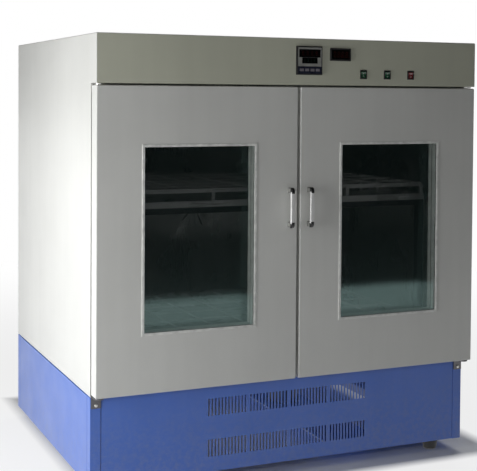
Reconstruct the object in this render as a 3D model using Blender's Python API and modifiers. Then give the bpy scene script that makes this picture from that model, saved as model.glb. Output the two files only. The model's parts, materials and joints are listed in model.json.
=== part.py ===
"""Floor-standing shaking incubator with two glazed doors over a louvred machine base.

Units are metres, X points right, the front faces -Y and Z points up. The origin is the middle of the
footprint on the floor. Run with: blender --background --python part.py
"""

import math

import bmesh
import bpy
from mathutils import Matrix, Vector

# Overall sizes
WIDTH = 1.400
CABINET_DEPTH = 1.025
CABINET_HEIGHT = 1.150
HEADER_HEIGHT = 0.156
BASE_HEIGHT = 0.290
FOOT_HEIGHT = 0.040

# Clearances
SEAT = 0.0003
RUNNING = 0.0003
PIN_PLAY = 0.0004

# Cabinet walls
CASE_SHEET = 0.002
CASE_FOLD_RADIUS = 0.004
LINER_SHEET = 0.0015
LINER_CORNER_RADIUS = 0.015
SIDE_WALL = 0.065
FLOOR_WALL = 0.060
BACK_WALL = 0.075
CEILING_WALL = 0.050
MULLION_WIDTH = 0.050
MULLION_DEPTH = 0.025

# Doors
DOOR_DEPTH = 0.050
SEAL_GAP = 0.011
DOOR_SHEET = 0.0015
DOOR_EDGE_RADIUS = 0.004
DOOR_GAP = 0.010
DOOR_TOP_GAP = 0.006
DOOR_BOTTOM_GAP = 0.010
WINDOW_WIDTH = 0.380
WINDOW_HEIGHT = 0.590
WINDOW_TRIM_WIDTH = 0.008
WINDOW_TRIM_HEIGHT = 0.0015
GLASS_THICKNESS = 0.004
GLASS_OVERLAP = 0.012
GASKET_WIDTH = 0.016
GASKET_FROM_HINGE_EDGE = 0.044
GASKET_FROM_FREE_EDGE = 0.003
GASKET_FROM_ENDS = 0.018

# Door hinges
HINGE_FROM_SIDE = 0.018
HINGE_FROM_BACK = 0.025
HINGE_PIN_RADIUS = 0.004
HINGE_PIN_LENGTH = 0.012
BRACKET_SHEET = 0.004
BRACKET_WIDTH = 0.032
UPPER_BRACKET_LEG = 0.028
LOWER_BRACKET_LEG = 0.042

# Door handles
HANDLE_REACH = 0.033
HANDLE_LENGTH = 0.134
HANDLE_BAR = 0.012
HANDLE_THICKNESS = 0.014
HANDLE_END = 0.019
HANDLE_CORNER = 0.012
HANDLE_INNER_CORNER = 0.005
HANDLE_EDGE_RADIUS = 0.0025
HANDLE_FROM_CENTRE = 0.036
HANDLE_ABOVE_MIDDLE = 0.088

# Controls in the header
CONTROLLER_SIZE = 0.096
CONTROLLER_BODY = 0.0914
CONTROLLER_PROUD = 0.008
CONTROLLER_BODY_DEPTH = 0.065
CONTROLLER_EDGE_RADIUS = 0.002
CONTROLLER_X = 0.033
CONTROLLER_BELOW_TOP = 0.074
UPPER_SCREEN_WIDTH = 0.078
UPPER_SCREEN_HEIGHT = 0.025
UPPER_SCREEN_RISE = 0.024
LOWER_SCREEN_WIDTH = 0.056
LOWER_SCREEN_HEIGHT = 0.018
SCREEN_RECESS = 0.001
KEY_COUNT = 4
KEY_WIDTH = 0.014
KEY_HEIGHT = 0.009
KEY_PITCH = 0.020
KEY_DEPTH = 0.0035
KEY_PROUD = 0.0009
KEY_TRAVEL = 0.001
KEY_EDGE_RADIUS = 0.0005
KEYS_ABOVE_EDGE = 0.012
DISPLAY_WIDTH = 0.079
DISPLAY_HEIGHT = 0.043
DISPLAY_BODY_WIDTH = 0.0745
DISPLAY_BODY_HEIGHT = 0.0385
DISPLAY_PROUD = 0.006
DISPLAY_BODY_DEPTH = 0.060
DISPLAY_LIP = 0.005
DISPLAY_EDGE_RADIUS = 0.0015
DISPLAY_X = 0.1515
DISPLAY_BELOW_TOP = 0.052
SWITCH_X = (0.2425, 0.3365, 0.4305)
SWITCH_BELOW_TOP = 0.118
SWITCH_WIDTH = 0.027
SWITCH_HEIGHT = 0.031
SWITCH_PROUD = 0.003
SWITCH_BODY_WIDTH = 0.0234
SWITCH_BODY_HEIGHT = 0.0274
SWITCH_BODY_DEPTH = 0.019
SWITCH_WELL_DEPTH = 0.016
SWITCH_EDGE_RADIUS = 0.001
ROCKER_WIDTH = 0.018
ROCKER_RADIUS = 0.0115
ROCKER_CROWN = 0.004
ROCKER_PIVOT_DEPTH = 0.005
ROCKER_TILT = math.radians(9)
ROCKER_FACE_SHARE = 0.85
ROCKER_TAIL = math.radians(20)
TRUNNION_RADIUS = 0.0014
TRUNNION_LENGTH = 0.0012

# Base frame and its panels
POST_SIZE = 0.035
RAIL_SIZE = 0.033
PANEL_SHEET = 0.0015
PANEL_FOLD = 0.014
PANEL_SEAM = 0.002
DECK_BEAM_SIZE = 0.033
DECK_BEAM_X = 0.455
MOTOR_PLATE_WIDTH = 0.200
MOTOR_PLATE_THICKNESS = 0.006
FOOT_PLATE_REACH = 0.040
FOOT_PLATE_THICKNESS = 0.006
SLOT_GROUPS = 4
SLOTS_IN_GROUP = 12
SLOT_PITCH = 0.012
SLOT_GROUP_PITCH = 0.152
SLOT_WIDTH = 0.006
SLOT_HEIGHT = 0.057
SLOT_ROWS_FROM_MIDDLE = (0.0715, -0.0645)

# Feet
FOOT_TOP_RADIUS = 0.029
FOOT_BOTTOM_RADIUS = 0.023
FOOT_EDGE = 0.003
FOOT_FROM_SIDE = 0.095
FOOT_FROM_FRONT = 0.055

# Shaking platform
TRAY_SIDE_CLEARANCE = 0.060
TRAY_FRONT_CLEARANCE = 0.060
TRAY_BACK_CLEARANCE = 0.053
TRAY_SHEET = 0.002
TRAY_RIM = 0.021
TRAY_CORNER_RADIUS = 0.012
LOWER_TRAY_ABOVE_FLOOR = 0.060
TIER_PITCH = 0.486
FRAME_TUBE = 0.025
PLATFORM_RAIL_INSET = 0.060
POST_ABOVE_RAIL = 0.014
RACK_RAIL_SHEET = 0.004
RACK_RAIL_HEIGHT = 0.014
RACK_RAIL_INSET = 0.010
RACK_POST = 0.012
SPRING_LEVEL = 0.052
SPRING_RADIUS = 0.004
SPRING_CROSSING = 0.005
LONG_SPRINGS = 5
SHORT_SPRINGS = 8

# Orbital drive
ORBIT = 0.010
CRANK_PIN_RADIUS = 0.008
CRANK_DISC_RADIUS = 0.026
CRANK_DISC_THICKNESS = 0.007
CRANK_ABOVE_FLOOR = 0.005
MAIN_SHAFT_RADIUS = 0.010
IDLER_SHAFT_RADIUS = 0.008
SHAFT_HOLE_RADIUS = 0.017
HUB_RADIUS = 0.024
MAIN_CRANK_X = 0.0
MAIN_CRANK_BEHIND = 0.150
IDLER_CRANK_X = 0.380
IDLER_CRANK_AHEAD = 0.130
DECK_THICKNESS = 0.008
DECK_BELOW_BASE_TOP = 0.022
DECK_MARGIN = 0.030
DECK_DEPTH = 0.460
DECK_Y = 0.010
HOUSING_RADIUS = 0.030
HOUSING_ABOVE = 0.020
HOUSING_BELOW = 0.010
COUNTERWEIGHT_RADIUS = 0.100
COUNTERWEIGHT_THICKNESS = 0.012
COUNTERWEIGHT_COLLAR = 0.020
PULLEY_DROP = 0.002
PULLEY_HEIGHT = 0.022
PULLEY_FLANGE = 0.002
PULLEY_FLANGE_PROUD = 0.004
MAIN_PULLEY_RADIUS = 0.120
MAIN_PULLEY_WEB = 0.008
MAIN_PULLEY_RIM = 0.010
MAIN_PULLEY_HUB_RADIUS = 0.030
MAIN_PULLEY_HOLES = 5
MAIN_PULLEY_HOLE_RADIUS = 0.024
MOTOR_PULLEY_RADIUS = 0.030
MOTOR_DISTANCE = 0.270
MOTOR_SHAFT_RADIUS = 0.007
MOTOR_SHAFT_DEPTH = 0.030
MOTOR_RADIUS = 0.058
MOTOR_FLANGE_RADIUS = 0.068
MOTOR_FLANGE_THICKNESS = 0.010
MOTOR_BOSS_RADIUS = 0.025
MOTOR_BOSS_HEIGHT = 0.008
MOTOR_BELOW_PULLEY = 0.003
TERMINAL_BOX = (0.060, 0.040, 0.050)
TERMINAL_BOX_SINK = 0.006
BELT_THICKNESS = 0.003
BELT_PLAY = 0.0005

# Air handling behind the chamber
DUCT_DEPTH = 0.060
DUCT_SHEET = 0.0015
DUCT_MARGIN = 0.012
DUCT_SLOT_COUNT = 10
DUCT_SLOT_PITCH = 0.100
DUCT_SLOT_WIDTH = 0.060
DUCT_SLOT_HEIGHT = 0.008
DUCT_SLOT_ROWS = (0.050, 0.066)
FAN_ABOVE_FLOOR = 0.440
FAN_RADIUS = 0.088
FAN_HUB_RADIUS = 0.024
FAN_HUB_NOSE = 0.019
FAN_HUB_DEPTH = 0.020
FAN_BLADES = 6
FAN_BLADE_SHEET = 0.002
FAN_BLADE_CHORD = 0.022
FAN_BLADE_ROOT = 0.017
FAN_BLADE_PITCH = math.radians(35)
FAN_BEHIND_PANEL = 0.010
FAN_SHAFT_RADIUS = 0.003
FAN_MOTOR_RADIUS = 0.034
FAN_MOTOR_NOSE = 0.027
FAN_MOTOR_DEPTH = 0.022
GRILLE_SLOTS = 16
GRILLE_INNER_RADIUS = 0.030
GRILLE_OUTER_RADIUS = 0.084
GRILLE_SLOT_WIDTH = 0.006
HEATER_RADIUS = 0.0045
HEATER_BEND = 0.030
HEATER_END_BEND = 0.008
HEATER_HALF_LENGTH = 0.300
HEATER_ABOVE_FLOOR = 0.210
HEATER_FROM_BACK = 0.024

# Power inlet
INLET_REACH = 0.004
INLET_WIDTH = 0.050
INLET_HEIGHT = 0.028
INLET_BODY_WIDTH = 0.0275
INLET_BODY_HEIGHT = 0.0215
INLET_BODY_DEPTH = 0.024
INLET_WELL_WIDTH = 0.0235
INLET_WELL_HEIGHT = 0.0165
INLET_WELL_DEPTH = 0.017
INLET_PIN = (0.004, 0.010, 0.002)
INLET_PIN_PITCH = 0.007
INLET_PIN_RISE = 0.002
INLET_FROM_SIDE = 0.140

# Places worked out from the sizes above
HALF = WIDTH / 2
OVERALL_DEPTH = HANDLE_REACH + DOOR_DEPTH + SEAL_GAP + CABINET_DEPTH + INLET_REACH
FRONT = HANDLE_REACH - OVERALL_DEPTH / 2
DOOR_BACK = FRONT + DOOR_DEPTH
CABINET_FRONT = DOOR_BACK + SEAL_GAP
CABINET_BACK = CABINET_FRONT + CABINET_DEPTH
BASE_TOP = FOOT_HEIGHT + BASE_HEIGHT
BASE_MIDDLE = FOOT_HEIGHT + BASE_HEIGHT / 2
CABINET_TOP = BASE_TOP + CABINET_HEIGHT
HEADER_BOTTOM = CABINET_TOP - HEADER_HEIGHT
CASE_INSIDE = HALF - CASE_SHEET - SEAT
CHAMBER_HALF = HALF - SIDE_WALL
CHAMBER_FLOOR = BASE_TOP + FLOOR_WALL
CHAMBER_CEILING = HEADER_BOTTOM - CEILING_WALL
CHAMBER_BACK = CABINET_BACK - BACK_WALL
DUCT_FRONT = CHAMBER_BACK - DUCT_DEPTH
DOOR_BOTTOM = BASE_TOP + DOOR_BOTTOM_GAP
DOOR_TOP = HEADER_BOTTOM - DOOR_TOP_GAP
DOOR_MIDDLE_X = (HALF + DOOR_GAP / 2) / 2
DOOR_MIDDLE_Z = (DOOR_BOTTOM + DOOR_TOP) / 2
HANDLE_HEIGHT = DOOR_MIDDLE_Z + HANDLE_ABOVE_MIDDLE
HINGE_X = HALF - HINGE_FROM_SIDE
HINGE_Y = DOOR_BACK - HINGE_FROM_BACK
CONTROLLER_Z = CABINET_TOP - CONTROLLER_BELOW_TOP
DISPLAY_Z = CABINET_TOP - DISPLAY_BELOW_TOP
SWITCH_Z = CABINET_TOP - SWITCH_BELOW_TOP
INLET_X = HALF - INLET_FROM_SIDE
INLET_Z = CABINET_TOP - HEADER_HEIGHT / 2
FAN_Z = CHAMBER_FLOOR + FAN_ABOVE_FLOOR
HEATER_Z = CHAMBER_FLOOR + HEATER_ABOVE_FLOOR
TRAY_WIDTH = 2 * (CHAMBER_HALF - TRAY_SIDE_CLEARANCE)
TRAY_FRONT = CABINET_FRONT + TRAY_FRONT_CLEARANCE
TRAY_BACK = DUCT_FRONT - TRAY_BACK_CLEARANCE
TRAY_DEPTH = TRAY_BACK - TRAY_FRONT
PLATFORM_Y = (TRAY_FRONT + TRAY_BACK) / 2
PLATFORM_RAIL_SPREAD = TRAY_DEPTH / 2 - PLATFORM_RAIL_INSET
LOWER_TRAY_TOP = CHAMBER_FLOOR + LOWER_TRAY_ABOVE_FLOOR
UPPER_TRAY_TOP = LOWER_TRAY_TOP + TIER_PITCH
LOWER_RAIL_TOP = LOWER_TRAY_TOP - TRAY_RIM - SEAT
UPPER_RAIL_TOP = UPPER_TRAY_TOP - TRAY_RIM - SEAT
CRANK_DISC_BOTTOM = CHAMBER_FLOOR + CRANK_ABOVE_FLOOR
CRANK_DISC_TOP = CRANK_DISC_BOTTOM + CRANK_DISC_THICKNESS
PLATFORM_BOTTOM = LOWER_RAIL_TOP - FRAME_TUBE
DECK_TOP = BASE_TOP - DECK_BELOW_BASE_TOP
DECK_BOTTOM = DECK_TOP - DECK_THICKNESS
HOUSING_BOTTOM = DECK_BOTTOM - HOUSING_BELOW
COUNTERWEIGHT_TOP = HOUSING_BOTTOM - PULLEY_DROP
COUNTERWEIGHT_BOTTOM = COUNTERWEIGHT_TOP - COUNTERWEIGHT_THICKNESS
PULLEY_TOP = COUNTERWEIGHT_BOTTOM - PULLEY_DROP
PULLEY_BOTTOM = PULLEY_TOP - PULLEY_HEIGHT
MAIN_CRANK = Vector((MAIN_CRANK_X, PLATFORM_Y + MAIN_CRANK_BEHIND, 0))
IDLER_CRANK_LEFT = Vector((-IDLER_CRANK_X, PLATFORM_Y - IDLER_CRANK_AHEAD, 0))
IDLER_CRANK_RIGHT = Vector((IDLER_CRANK_X, PLATFORM_Y - IDLER_CRANK_AHEAD, 0))
MOTOR = MAIN_CRANK + Vector((MOTOR_DISTANCE, 0, 0))
PIN_OFFSET = Vector((0, -ORBIT, 0))
PANEL_HALF = HALF - POST_SIZE - PANEL_SEAM
PANEL_BOTTOM = FOOT_HEIGHT + PANEL_SEAM
PANEL_TOP = BASE_TOP - PANEL_SEAM
RAIL_INSET = PANEL_FOLD + SEAT


# Scene and materials
def clear_scene():
    for item in list(bpy.data.objects):
        bpy.data.objects.remove(item, do_unlink=True)


def new_collection(name):
    collection = bpy.data.collections.new(name)
    bpy.context.scene.collection.children.link(collection)
    return collection


def material(name, colour, roughness, metallic=0.0, transmission=0.0):
    finish = bpy.data.materials.new(name)
    finish.use_nodes = True
    shader = finish.node_tree.nodes["Principled BSDF"]
    shader.inputs["Base Color"].default_value = (*colour, 1.0)
    shader.inputs["Roughness"].default_value = roughness
    shader.inputs["Metallic"].default_value = metallic
    shader.inputs["Transmission Weight"].default_value = transmission
    return finish


clear_scene()
ASSEMBLY = new_collection("shaking_incubator")
CUTTERS = new_collection("cutters")
WHITE_PAINT = material("white_paint", (0.74, 0.75, 0.72), 0.38)
BLUE_PAINT = material("blue_paint", (0.10, 0.19, 0.48), 0.42)
STAINLESS = material("stainless_steel", (0.58, 0.59, 0.58), 0.32, 1.0)
BRIGHT_STEEL = material("bright_steel", (0.66, 0.66, 0.67), 0.22, 1.0)
DARK_STEEL = material("dark_steel", (0.12, 0.12, 0.13), 0.45, 1.0)
ALUMINIUM = material("aluminium", (0.68, 0.69, 0.70), 0.35, 1.0)
BLACK_PLASTIC = material("black_plastic", (0.018, 0.018, 0.020), 0.45)
GREEN_PLASTIC = material("green_plastic", (0.02, 0.30, 0.09), 0.30)
RED_PLASTIC = material("red_plastic", (0.50, 0.02, 0.02), 0.30)
GREY_PLASTIC = material("grey_plastic", (0.30, 0.32, 0.36), 0.50)
BLACK_RUBBER = material("black_rubber", (0.012, 0.012, 0.012), 0.75)
GREY_RUBBER = material("grey_rubber", (0.35, 0.36, 0.36), 0.70)
MINERAL_WOOL = material("mineral_wool", (0.62, 0.55, 0.32), 0.95)
CLEAR_GLASS = material("clear_glass", (0.85, 0.93, 0.90), 0.03, 0.0, 1.0)


# Modelling helpers
def add_object(name, mesh, finish=None):
    item = bpy.data.objects.new(name, mesh)
    if finish is None:
        item.hide_render = True
        item.display_type = "WIRE"
        CUTTERS.objects.link(item)
    else:
        item.data.materials.append(finish)
        ASSEMBLY.objects.link(item)
    return item


def mesh_from(name, build):
    bm = bmesh.new()
    build(bm)
    bmesh.ops.recalc_face_normals(bm, faces=bm.faces)
    mesh = bpy.data.meshes.new(name)
    bm.to_mesh(mesh)
    bm.free()
    return mesh


def add_cube(bm, low, high):
    low, high = Vector(low), Vector(high)
    spread = Matrix.Diagonal((*(high - low), 1.0))
    bmesh.ops.create_cube(bm, size=1.0, matrix=Matrix.Translation((low + high) / 2) @ spread)


def block(name, low, high, finish=None):
    return add_object(name, mesh_from(name, lambda bm: add_cube(bm, low, high)), finish)


def blocks(name, corners, finish=None):
    """Several separate blocks in one object, each from its low and high corner."""

    def build(bm):
        for low, high in corners:
            add_cube(bm, low, high)

    return add_object(name, mesh_from(name, build), finish)


def cylinder(name, centre, radius, low, high, segments=20, finish=None):
    """An upright cylinder from height low to height high."""

    def build(bm):
        place = Matrix.Translation((centre[0], centre[1], (low + high) / 2))
        bmesh.ops.create_cone(bm, cap_ends=True, segments=segments, radius1=radius, radius2=radius,
                              depth=high - low, matrix=place)

    return add_object(name, mesh_from(name, build), finish)


def rod(name, start, end, radius, segments=24, finish=None):
    """A straight round bar between two points."""
    start, end = Vector(start), Vector(end)
    return add_object(name, mesh_from(name, lambda bm: add_rod(bm, start, end, radius, segments)), finish)


def add_rod(bm, start, end, radius, segments):
    along = end - start
    turn = along.to_track_quat("Z", "Y").to_matrix().to_4x4()
    place = Matrix.Translation((start + end) / 2) @ turn
    bmesh.ops.create_cone(bm, cap_ends=True, segments=segments, radius1=radius, radius2=radius,
                          depth=along.length, matrix=place)


def round_edges(item, radius, segments, chosen):
    """Rounds the edges of a plain mesh for which chosen(edge) is true."""
    bm = bmesh.new()
    bm.from_mesh(item.data)
    edges = [edge for edge in bm.edges if chosen(edge)]
    bmesh.ops.bevel(bm, geom=edges, offset=radius, segments=segments, profile=0.5, affect="EDGES")
    bm.to_mesh(item.data)
    bm.free()
    return item


def runs_along(axis):
    def chosen(edge):
        along = (edge.verts[1].co - edge.verts[0].co).normalized()
        return abs(along[axis]) > 0.99

    return chosen


def on_front(edge):
    """True for an edge that bounds or leaves the mesh's lowest Y."""
    lowest = min(vert.co.y for face in edge.link_faces for vert in face.verts)
    return min(vert.co.y for vert in edge.verts) < lowest + 1e-6


def combine(item, other, operation):
    step = item.modifiers.new(operation.lower(), "BOOLEAN")
    step.operation = operation
    step.solver = "EXACT"
    step.object = other
    return item


def cut(item, *cutters):
    for cutter in cutters:
        combine(item, cutter, "DIFFERENCE")
    return item


def fuse(item, *others):
    for other in others:
        combine(item, other, "UNION")
    return item


def tray(name, low, high, open_side, sheet, finish, edge_radius=0.0, edges=None, segments=2):
    """A folded sheet box whose side towards open_side, a unit vector, is missing."""
    outward = Vector(open_side)
    item = block(name, low, high, finish)
    bm = bmesh.new()
    bm.from_mesh(item.data)
    mouth = [face for face in bm.faces if face.normal.dot(outward) > 0.99]
    bmesh.ops.delete(bm, geom=mouth, context="FACES_ONLY")
    bm.to_mesh(item.data)
    bm.free()
    if edge_radius:
        round_edges(item, edge_radius, segments, edges)
    wall = item.modifiers.new("sheet", "SOLIDIFY")
    wall.thickness = sheet
    wall.offset = -1
    wall.use_even_offset = True
    return item


def turned(name, profile, place, segments, finish, axis="Z"):
    """Turns a profile of (radius, height) points, listed from the top down its outer side."""
    mesh = bpy.data.meshes.new(name)
    points = [(radius, 0, height) for radius, height in profile]
    edges = [(index, index + 1) for index in range(len(points) - 1)]
    if profile[0][0] > 0:
        edges.append((len(points) - 1, 0))
    mesh.from_pydata(points, edges, [])
    item = add_object(name, mesh, finish)
    screw = item.modifiers.new("turn", "SCREW")
    screw.axis = "Z"
    screw.angle = math.tau
    screw.steps = segments
    screw.render_steps = segments
    screw.use_merge_vertices = True
    screw.merge_threshold = 0.00005
    item.location = place
    if axis == "-Y":
        item.rotation_euler = (math.pi / 2, 0, 0)
    return item


def outline(name, loops, low, high, plane="XY", finish=None):
    """A flat outline, with holes, as a solid from low to high along the plane's normal."""
    curve = bpy.data.curves.new(name, "CURVE")
    curve.dimensions = "2D"
    curve.fill_mode = "BOTH"
    curve.extrude = (high - low) / 2
    for loop in loops:
        spline = curve.splines.new("POLY")
        spline.points.add(len(loop) - 1)
        for point, (across, up) in zip(spline.points, loop):
            point.co = (across, up, 0, 1)
        spline.use_cyclic_u = True
    shape = bpy.data.objects.new(name, curve)
    bpy.context.scene.collection.objects.link(shape)
    bpy.context.view_layer.update()
    seen = shape.evaluated_get(bpy.context.evaluated_depsgraph_get())
    mesh = bpy.data.meshes.new_from_object(seen)
    bpy.data.objects.remove(shape, do_unlink=True)
    bpy.data.curves.remove(curve)
    mesh.name = name
    middle = (low + high) / 2
    turn = {
        "XY": Matrix.Identity(4),
        "XZ": Matrix.Rotation(math.pi / 2, 4, "X"),
        "YZ": Matrix(((0, 0, 1, 0), (1, 0, 0, 0), (0, 1, 0, 0), (0, 0, 0, 1))),
    }[plane]
    shift = {"XY": (0, 0, middle), "XZ": (0, middle, 0), "YZ": (middle, 0, 0)}[plane]
    mesh.transform(Matrix.Translation(shift) @ turn)
    bm = bmesh.new()
    bm.from_mesh(mesh)
    bmesh.ops.remove_doubles(bm, verts=bm.verts, dist=0.000002)
    bmesh.ops.recalc_face_normals(bm, faces=bm.faces)
    bm.to_mesh(mesh)
    bm.free()
    return add_object(name, mesh, finish)


def rectangle(left, right, low, high):
    return [(left, low), (right, low), (right, high), (left, high)]


def arc(centre, radius, start, end, steps):
    """Points on an arc; angles in radians from the first axis."""
    angles = [start + (end - start) * index / steps for index in range(steps + 1)]
    return [(centre[0] + radius * math.cos(angle), centre[1] + radius * math.sin(angle)) for angle in angles]


def joint_empty(name, place, *pieces):
    """An empty on a joint's axis that carries the joint's pieces."""
    pivot = bpy.data.objects.new(name, None)
    pivot.location = place
    ASSEMBLY.objects.link(pivot)
    for piece in pieces:
        piece.parent = pivot
        piece.location = Vector(piece.location) - Vector(place)
    return pivot


# Cabinet
def build_outer_case():
    side = [(CABINET_FRONT, BASE_TOP), (CABINET_BACK, BASE_TOP), (CABINET_BACK, CABINET_TOP),
            (FRONT, CABINET_TOP), (FRONT, HEADER_BOTTOM), (CABINET_FRONT, HEADER_BOTTOM)]
    case = outline("outer_case", [side], -HALF, HALF, "YZ", WHITE_PAINT)
    round_edges(case, CASE_FOLD_RADIUS, 2, is_case_fold)
    past = CABINET_DEPTH
    inside = [(CABINET_FRONT - past, BASE_TOP + CASE_SHEET), (CABINET_BACK + past, BASE_TOP + CASE_SHEET),
              (CABINET_BACK + past, CABINET_TOP - CASE_SHEET), (FRONT - past, CABINET_TOP - CASE_SHEET)]
    hollow = outline("case_inside", [inside], -HALF + CASE_SHEET, HALF - CASE_SHEET, "YZ")
    return cut(case, hollow, *shaft_holes("case"))


def is_case_fold(edge):
    """The case's folds run from front to back along its top and bottom corners."""
    outer = all(abs(abs(vert.co.x) - HALF) < 1e-5 for vert in edge.verts)
    level = edge.verts[0].co.z
    return outer and runs_along(1)(edge) and (abs(level - CABINET_TOP) < 1e-5 or abs(level - BASE_TOP) < 1e-5)


def shaft_holes(owner):
    """Cutters for the three drive shafts through the cabinet floor."""
    return [cylinder(owner + "_shaft_hole_" + name, centre, SHAFT_HOLE_RADIUS,
                     BASE_TOP - FLOOR_WALL, CHAMBER_FLOOR + FLOOR_WALL)
            for name, centre in (("main", MAIN_CRANK), ("left", IDLER_CRANK_LEFT), ("right",
                                                                                    IDLER_CRANK_RIGHT))]


def build_back_panel():
    panel = block("back_panel", (-CASE_INSIDE, CABINET_BACK - CASE_SHEET, BASE_TOP + CASE_SHEET + SEAT),
                  (CASE_INSIDE, CABINET_BACK, CABINET_TOP - CASE_SHEET - SEAT), WHITE_PAINT)
    half_width = INLET_BODY_WIDTH / 2 + SEAT
    half_height = INLET_BODY_HEIGHT / 2 + SEAT
    hole = block("inlet_hole", (INLET_X - half_width, CABINET_BACK - BACK_WALL, INLET_Z - half_height),
                 (INLET_X + half_width, CABINET_BACK + BACK_WALL, INLET_Z + half_height))
    return cut(panel, hole)


def build_header_fascia():
    low = (-CASE_INSIDE, FRONT, HEADER_BOTTOM)
    high = (CASE_INSIDE, CABINET_FRONT - SEAT, CABINET_TOP - CASE_SHEET - SEAT)
    fascia = tray("header_fascia", low, high, (0, 1, 0), CASE_SHEET, WHITE_PAINT)
    holes = [(CONTROLLER_X, CONTROLLER_Z, CONTROLLER_BODY, CONTROLLER_BODY),
             (DISPLAY_X, DISPLAY_Z, DISPLAY_BODY_WIDTH, DISPLAY_BODY_HEIGHT)]
    holes += [(x, SWITCH_Z, SWITCH_BODY_WIDTH, SWITCH_BODY_HEIGHT) for x in SWITCH_X]
    corners = [((x - width / 2 - SEAT, FRONT - CASE_SHEET, z - height / 2 - SEAT),
                (x + width / 2 + SEAT, FRONT + 2 * CASE_SHEET, z + height / 2 + SEAT))
               for x, z, width, height in holes]
    return cut(fascia, blocks("fascia_holes", corners))


def build_chamber_liner():
    """Inner stainless box with coved corners, a face frame round the mouth and a centre mullion."""
    flange_low = (-CASE_INSIDE, CABINET_FRONT, BASE_TOP + CASE_SHEET + SEAT)
    flange_high = (CASE_INSIDE, CABINET_FRONT + LINER_SHEET, HEADER_BOTTOM - SEAT)
    liner = block("chamber_liner", flange_low, flange_high, STAINLESS)
    grown = LINER_SHEET
    box = block("liner_box", (-CHAMBER_HALF - grown, CABINET_FRONT, CHAMBER_FLOOR - grown),
                (CHAMBER_HALF + grown, CHAMBER_BACK + grown, CHAMBER_CEILING + grown))
    round_edges(box, LINER_CORNER_RADIUS + grown, 3, runs_along(1))
    hollow = block("liner_inside", (-CHAMBER_HALF, CABINET_FRONT - grown, CHAMBER_FLOOR),
                   (CHAMBER_HALF, CHAMBER_BACK, CHAMBER_CEILING))
    round_edges(hollow, LINER_CORNER_RADIUS, 3, runs_along(1))
    post = block("mullion", (-MULLION_WIDTH / 2, CABINET_FRONT, CHAMBER_FLOOR - grown / 2),
                 (MULLION_WIDTH / 2, CABINET_FRONT + MULLION_DEPTH, CHAMBER_CEILING + grown / 2))
    fuse(liner, box)
    cut(liner, hollow)
    fuse(liner, post)
    return cut(liner, *shaft_holes("liner"))


def build_insulation():
    """Mineral wool between case and liner, below the header compartment."""
    wool = block("insulation",
                 (-CASE_INSIDE, CABINET_FRONT + LINER_SHEET + SEAT, BASE_TOP + CASE_SHEET + SEAT),
                 (CASE_INSIDE, CABINET_BACK - CASE_SHEET - SEAT, HEADER_BOTTOM - SEAT), MINERAL_WOOL)
    grown = LINER_SHEET + SEAT
    pocket = block("insulation_pocket", (-CHAMBER_HALF - grown, CABINET_FRONT - grown, CHAMBER_FLOOR - grown),
                   (CHAMBER_HALF + grown, CHAMBER_BACK + grown, CHAMBER_CEILING + grown))
    return cut(wool, pocket, *shaft_holes("insulation"))


# Doors
def door_span(side):
    """The door's left and right edges, for side -1 (left) or 1 (right)."""
    inner, outer = side * DOOR_GAP / 2, side * HALF
    return min(inner, outer), max(inner, outer)


def window_ring(middle_x, grow):
    half_width = WINDOW_WIDTH / 2 + grow
    half_height = WINDOW_HEIGHT / 2 + grow
    return rectangle(middle_x - half_width, middle_x + half_width,
                     DOOR_MIDDLE_Z - half_height, DOOR_MIDDLE_Z + half_height)


def window_block(name, middle_x, grow, low, high, finish=None):
    (left, bottom), _, (right, top), _ = window_ring(middle_x, grow)
    return block(name, (left, low, bottom), (right, high, top), finish)


def build_door(side, word):
    left, right = door_span(side)
    middle = side * DOOR_MIDDLE_X
    shell = tray("door_shell_" + word, (left, FRONT, DOOR_BOTTOM), (right, DOOR_BACK, DOOR_TOP), (0, 1, 0),
                 DOOR_SHEET, WHITE_PAINT, DOOR_EDGE_RADIUS, on_front)
    trim_loops = [window_ring(middle, WINDOW_TRIM_WIDTH), window_ring(middle, 0)]
    trim = outline("window_trim_" + word, trim_loops, FRONT - WINDOW_TRIM_HEIGHT,
                   FRONT + DOOR_SHEET / 2, "XZ")
    fuse(shell, trim)
    cut(shell, window_block("window_hole_" + word, middle, 0, FRONT - DOOR_DEPTH, FRONT + DOOR_DEPTH / 2))
    cut(shell, cylinder("pin_holes_" + word, (side * HINGE_X, HINGE_Y), HINGE_PIN_RADIUS + PIN_PLAY,
                        DOOR_BOTTOM - HINGE_PIN_LENGTH, DOOR_TOP + HINGE_PIN_LENGTH, 16))
    glass_front = FRONT + DOOR_SHEET + SEAT
    glass_back = glass_front + GLASS_THICKNESS
    outer_glass = window_block("outer_glass_" + word, middle, GLASS_OVERLAP, glass_front, glass_back,
                               CLEAR_GLASS)
    edge = DOOR_SHEET + SEAT
    liner = block("door_liner_" + word, (left + edge, DOOR_BACK - DOOR_SHEET, DOOR_BOTTOM + edge),
                  (right - edge, DOOR_BACK, DOOR_TOP - edge), STAINLESS)
    round_edges(liner, DOOR_EDGE_RADIUS - DOOR_SHEET + SEAT, 2, runs_along(1))
    fuse(liner, window_block("reveal_" + word, middle, DOOR_SHEET, glass_back + SEAT, DOOR_BACK))
    cut(liner, window_block("reveal_hole_" + word, middle, 0, FRONT, DOOR_BACK + DOOR_DEPTH))
    inner_glass = window_block("inner_glass_" + word, middle, GLASS_OVERLAP, DOOR_BACK + SEAT,
                               DOOR_BACK + SEAT + GLASS_THICKNESS, CLEAR_GLASS)
    gasket = build_gasket(side, word)
    handle = build_handle(side, word)
    joint_empty("door_hinge_" + word, (side * HINGE_X, HINGE_Y, DOOR_BOTTOM),
                shell, liner, outer_glass, inner_glass, gasket, handle)


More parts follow.
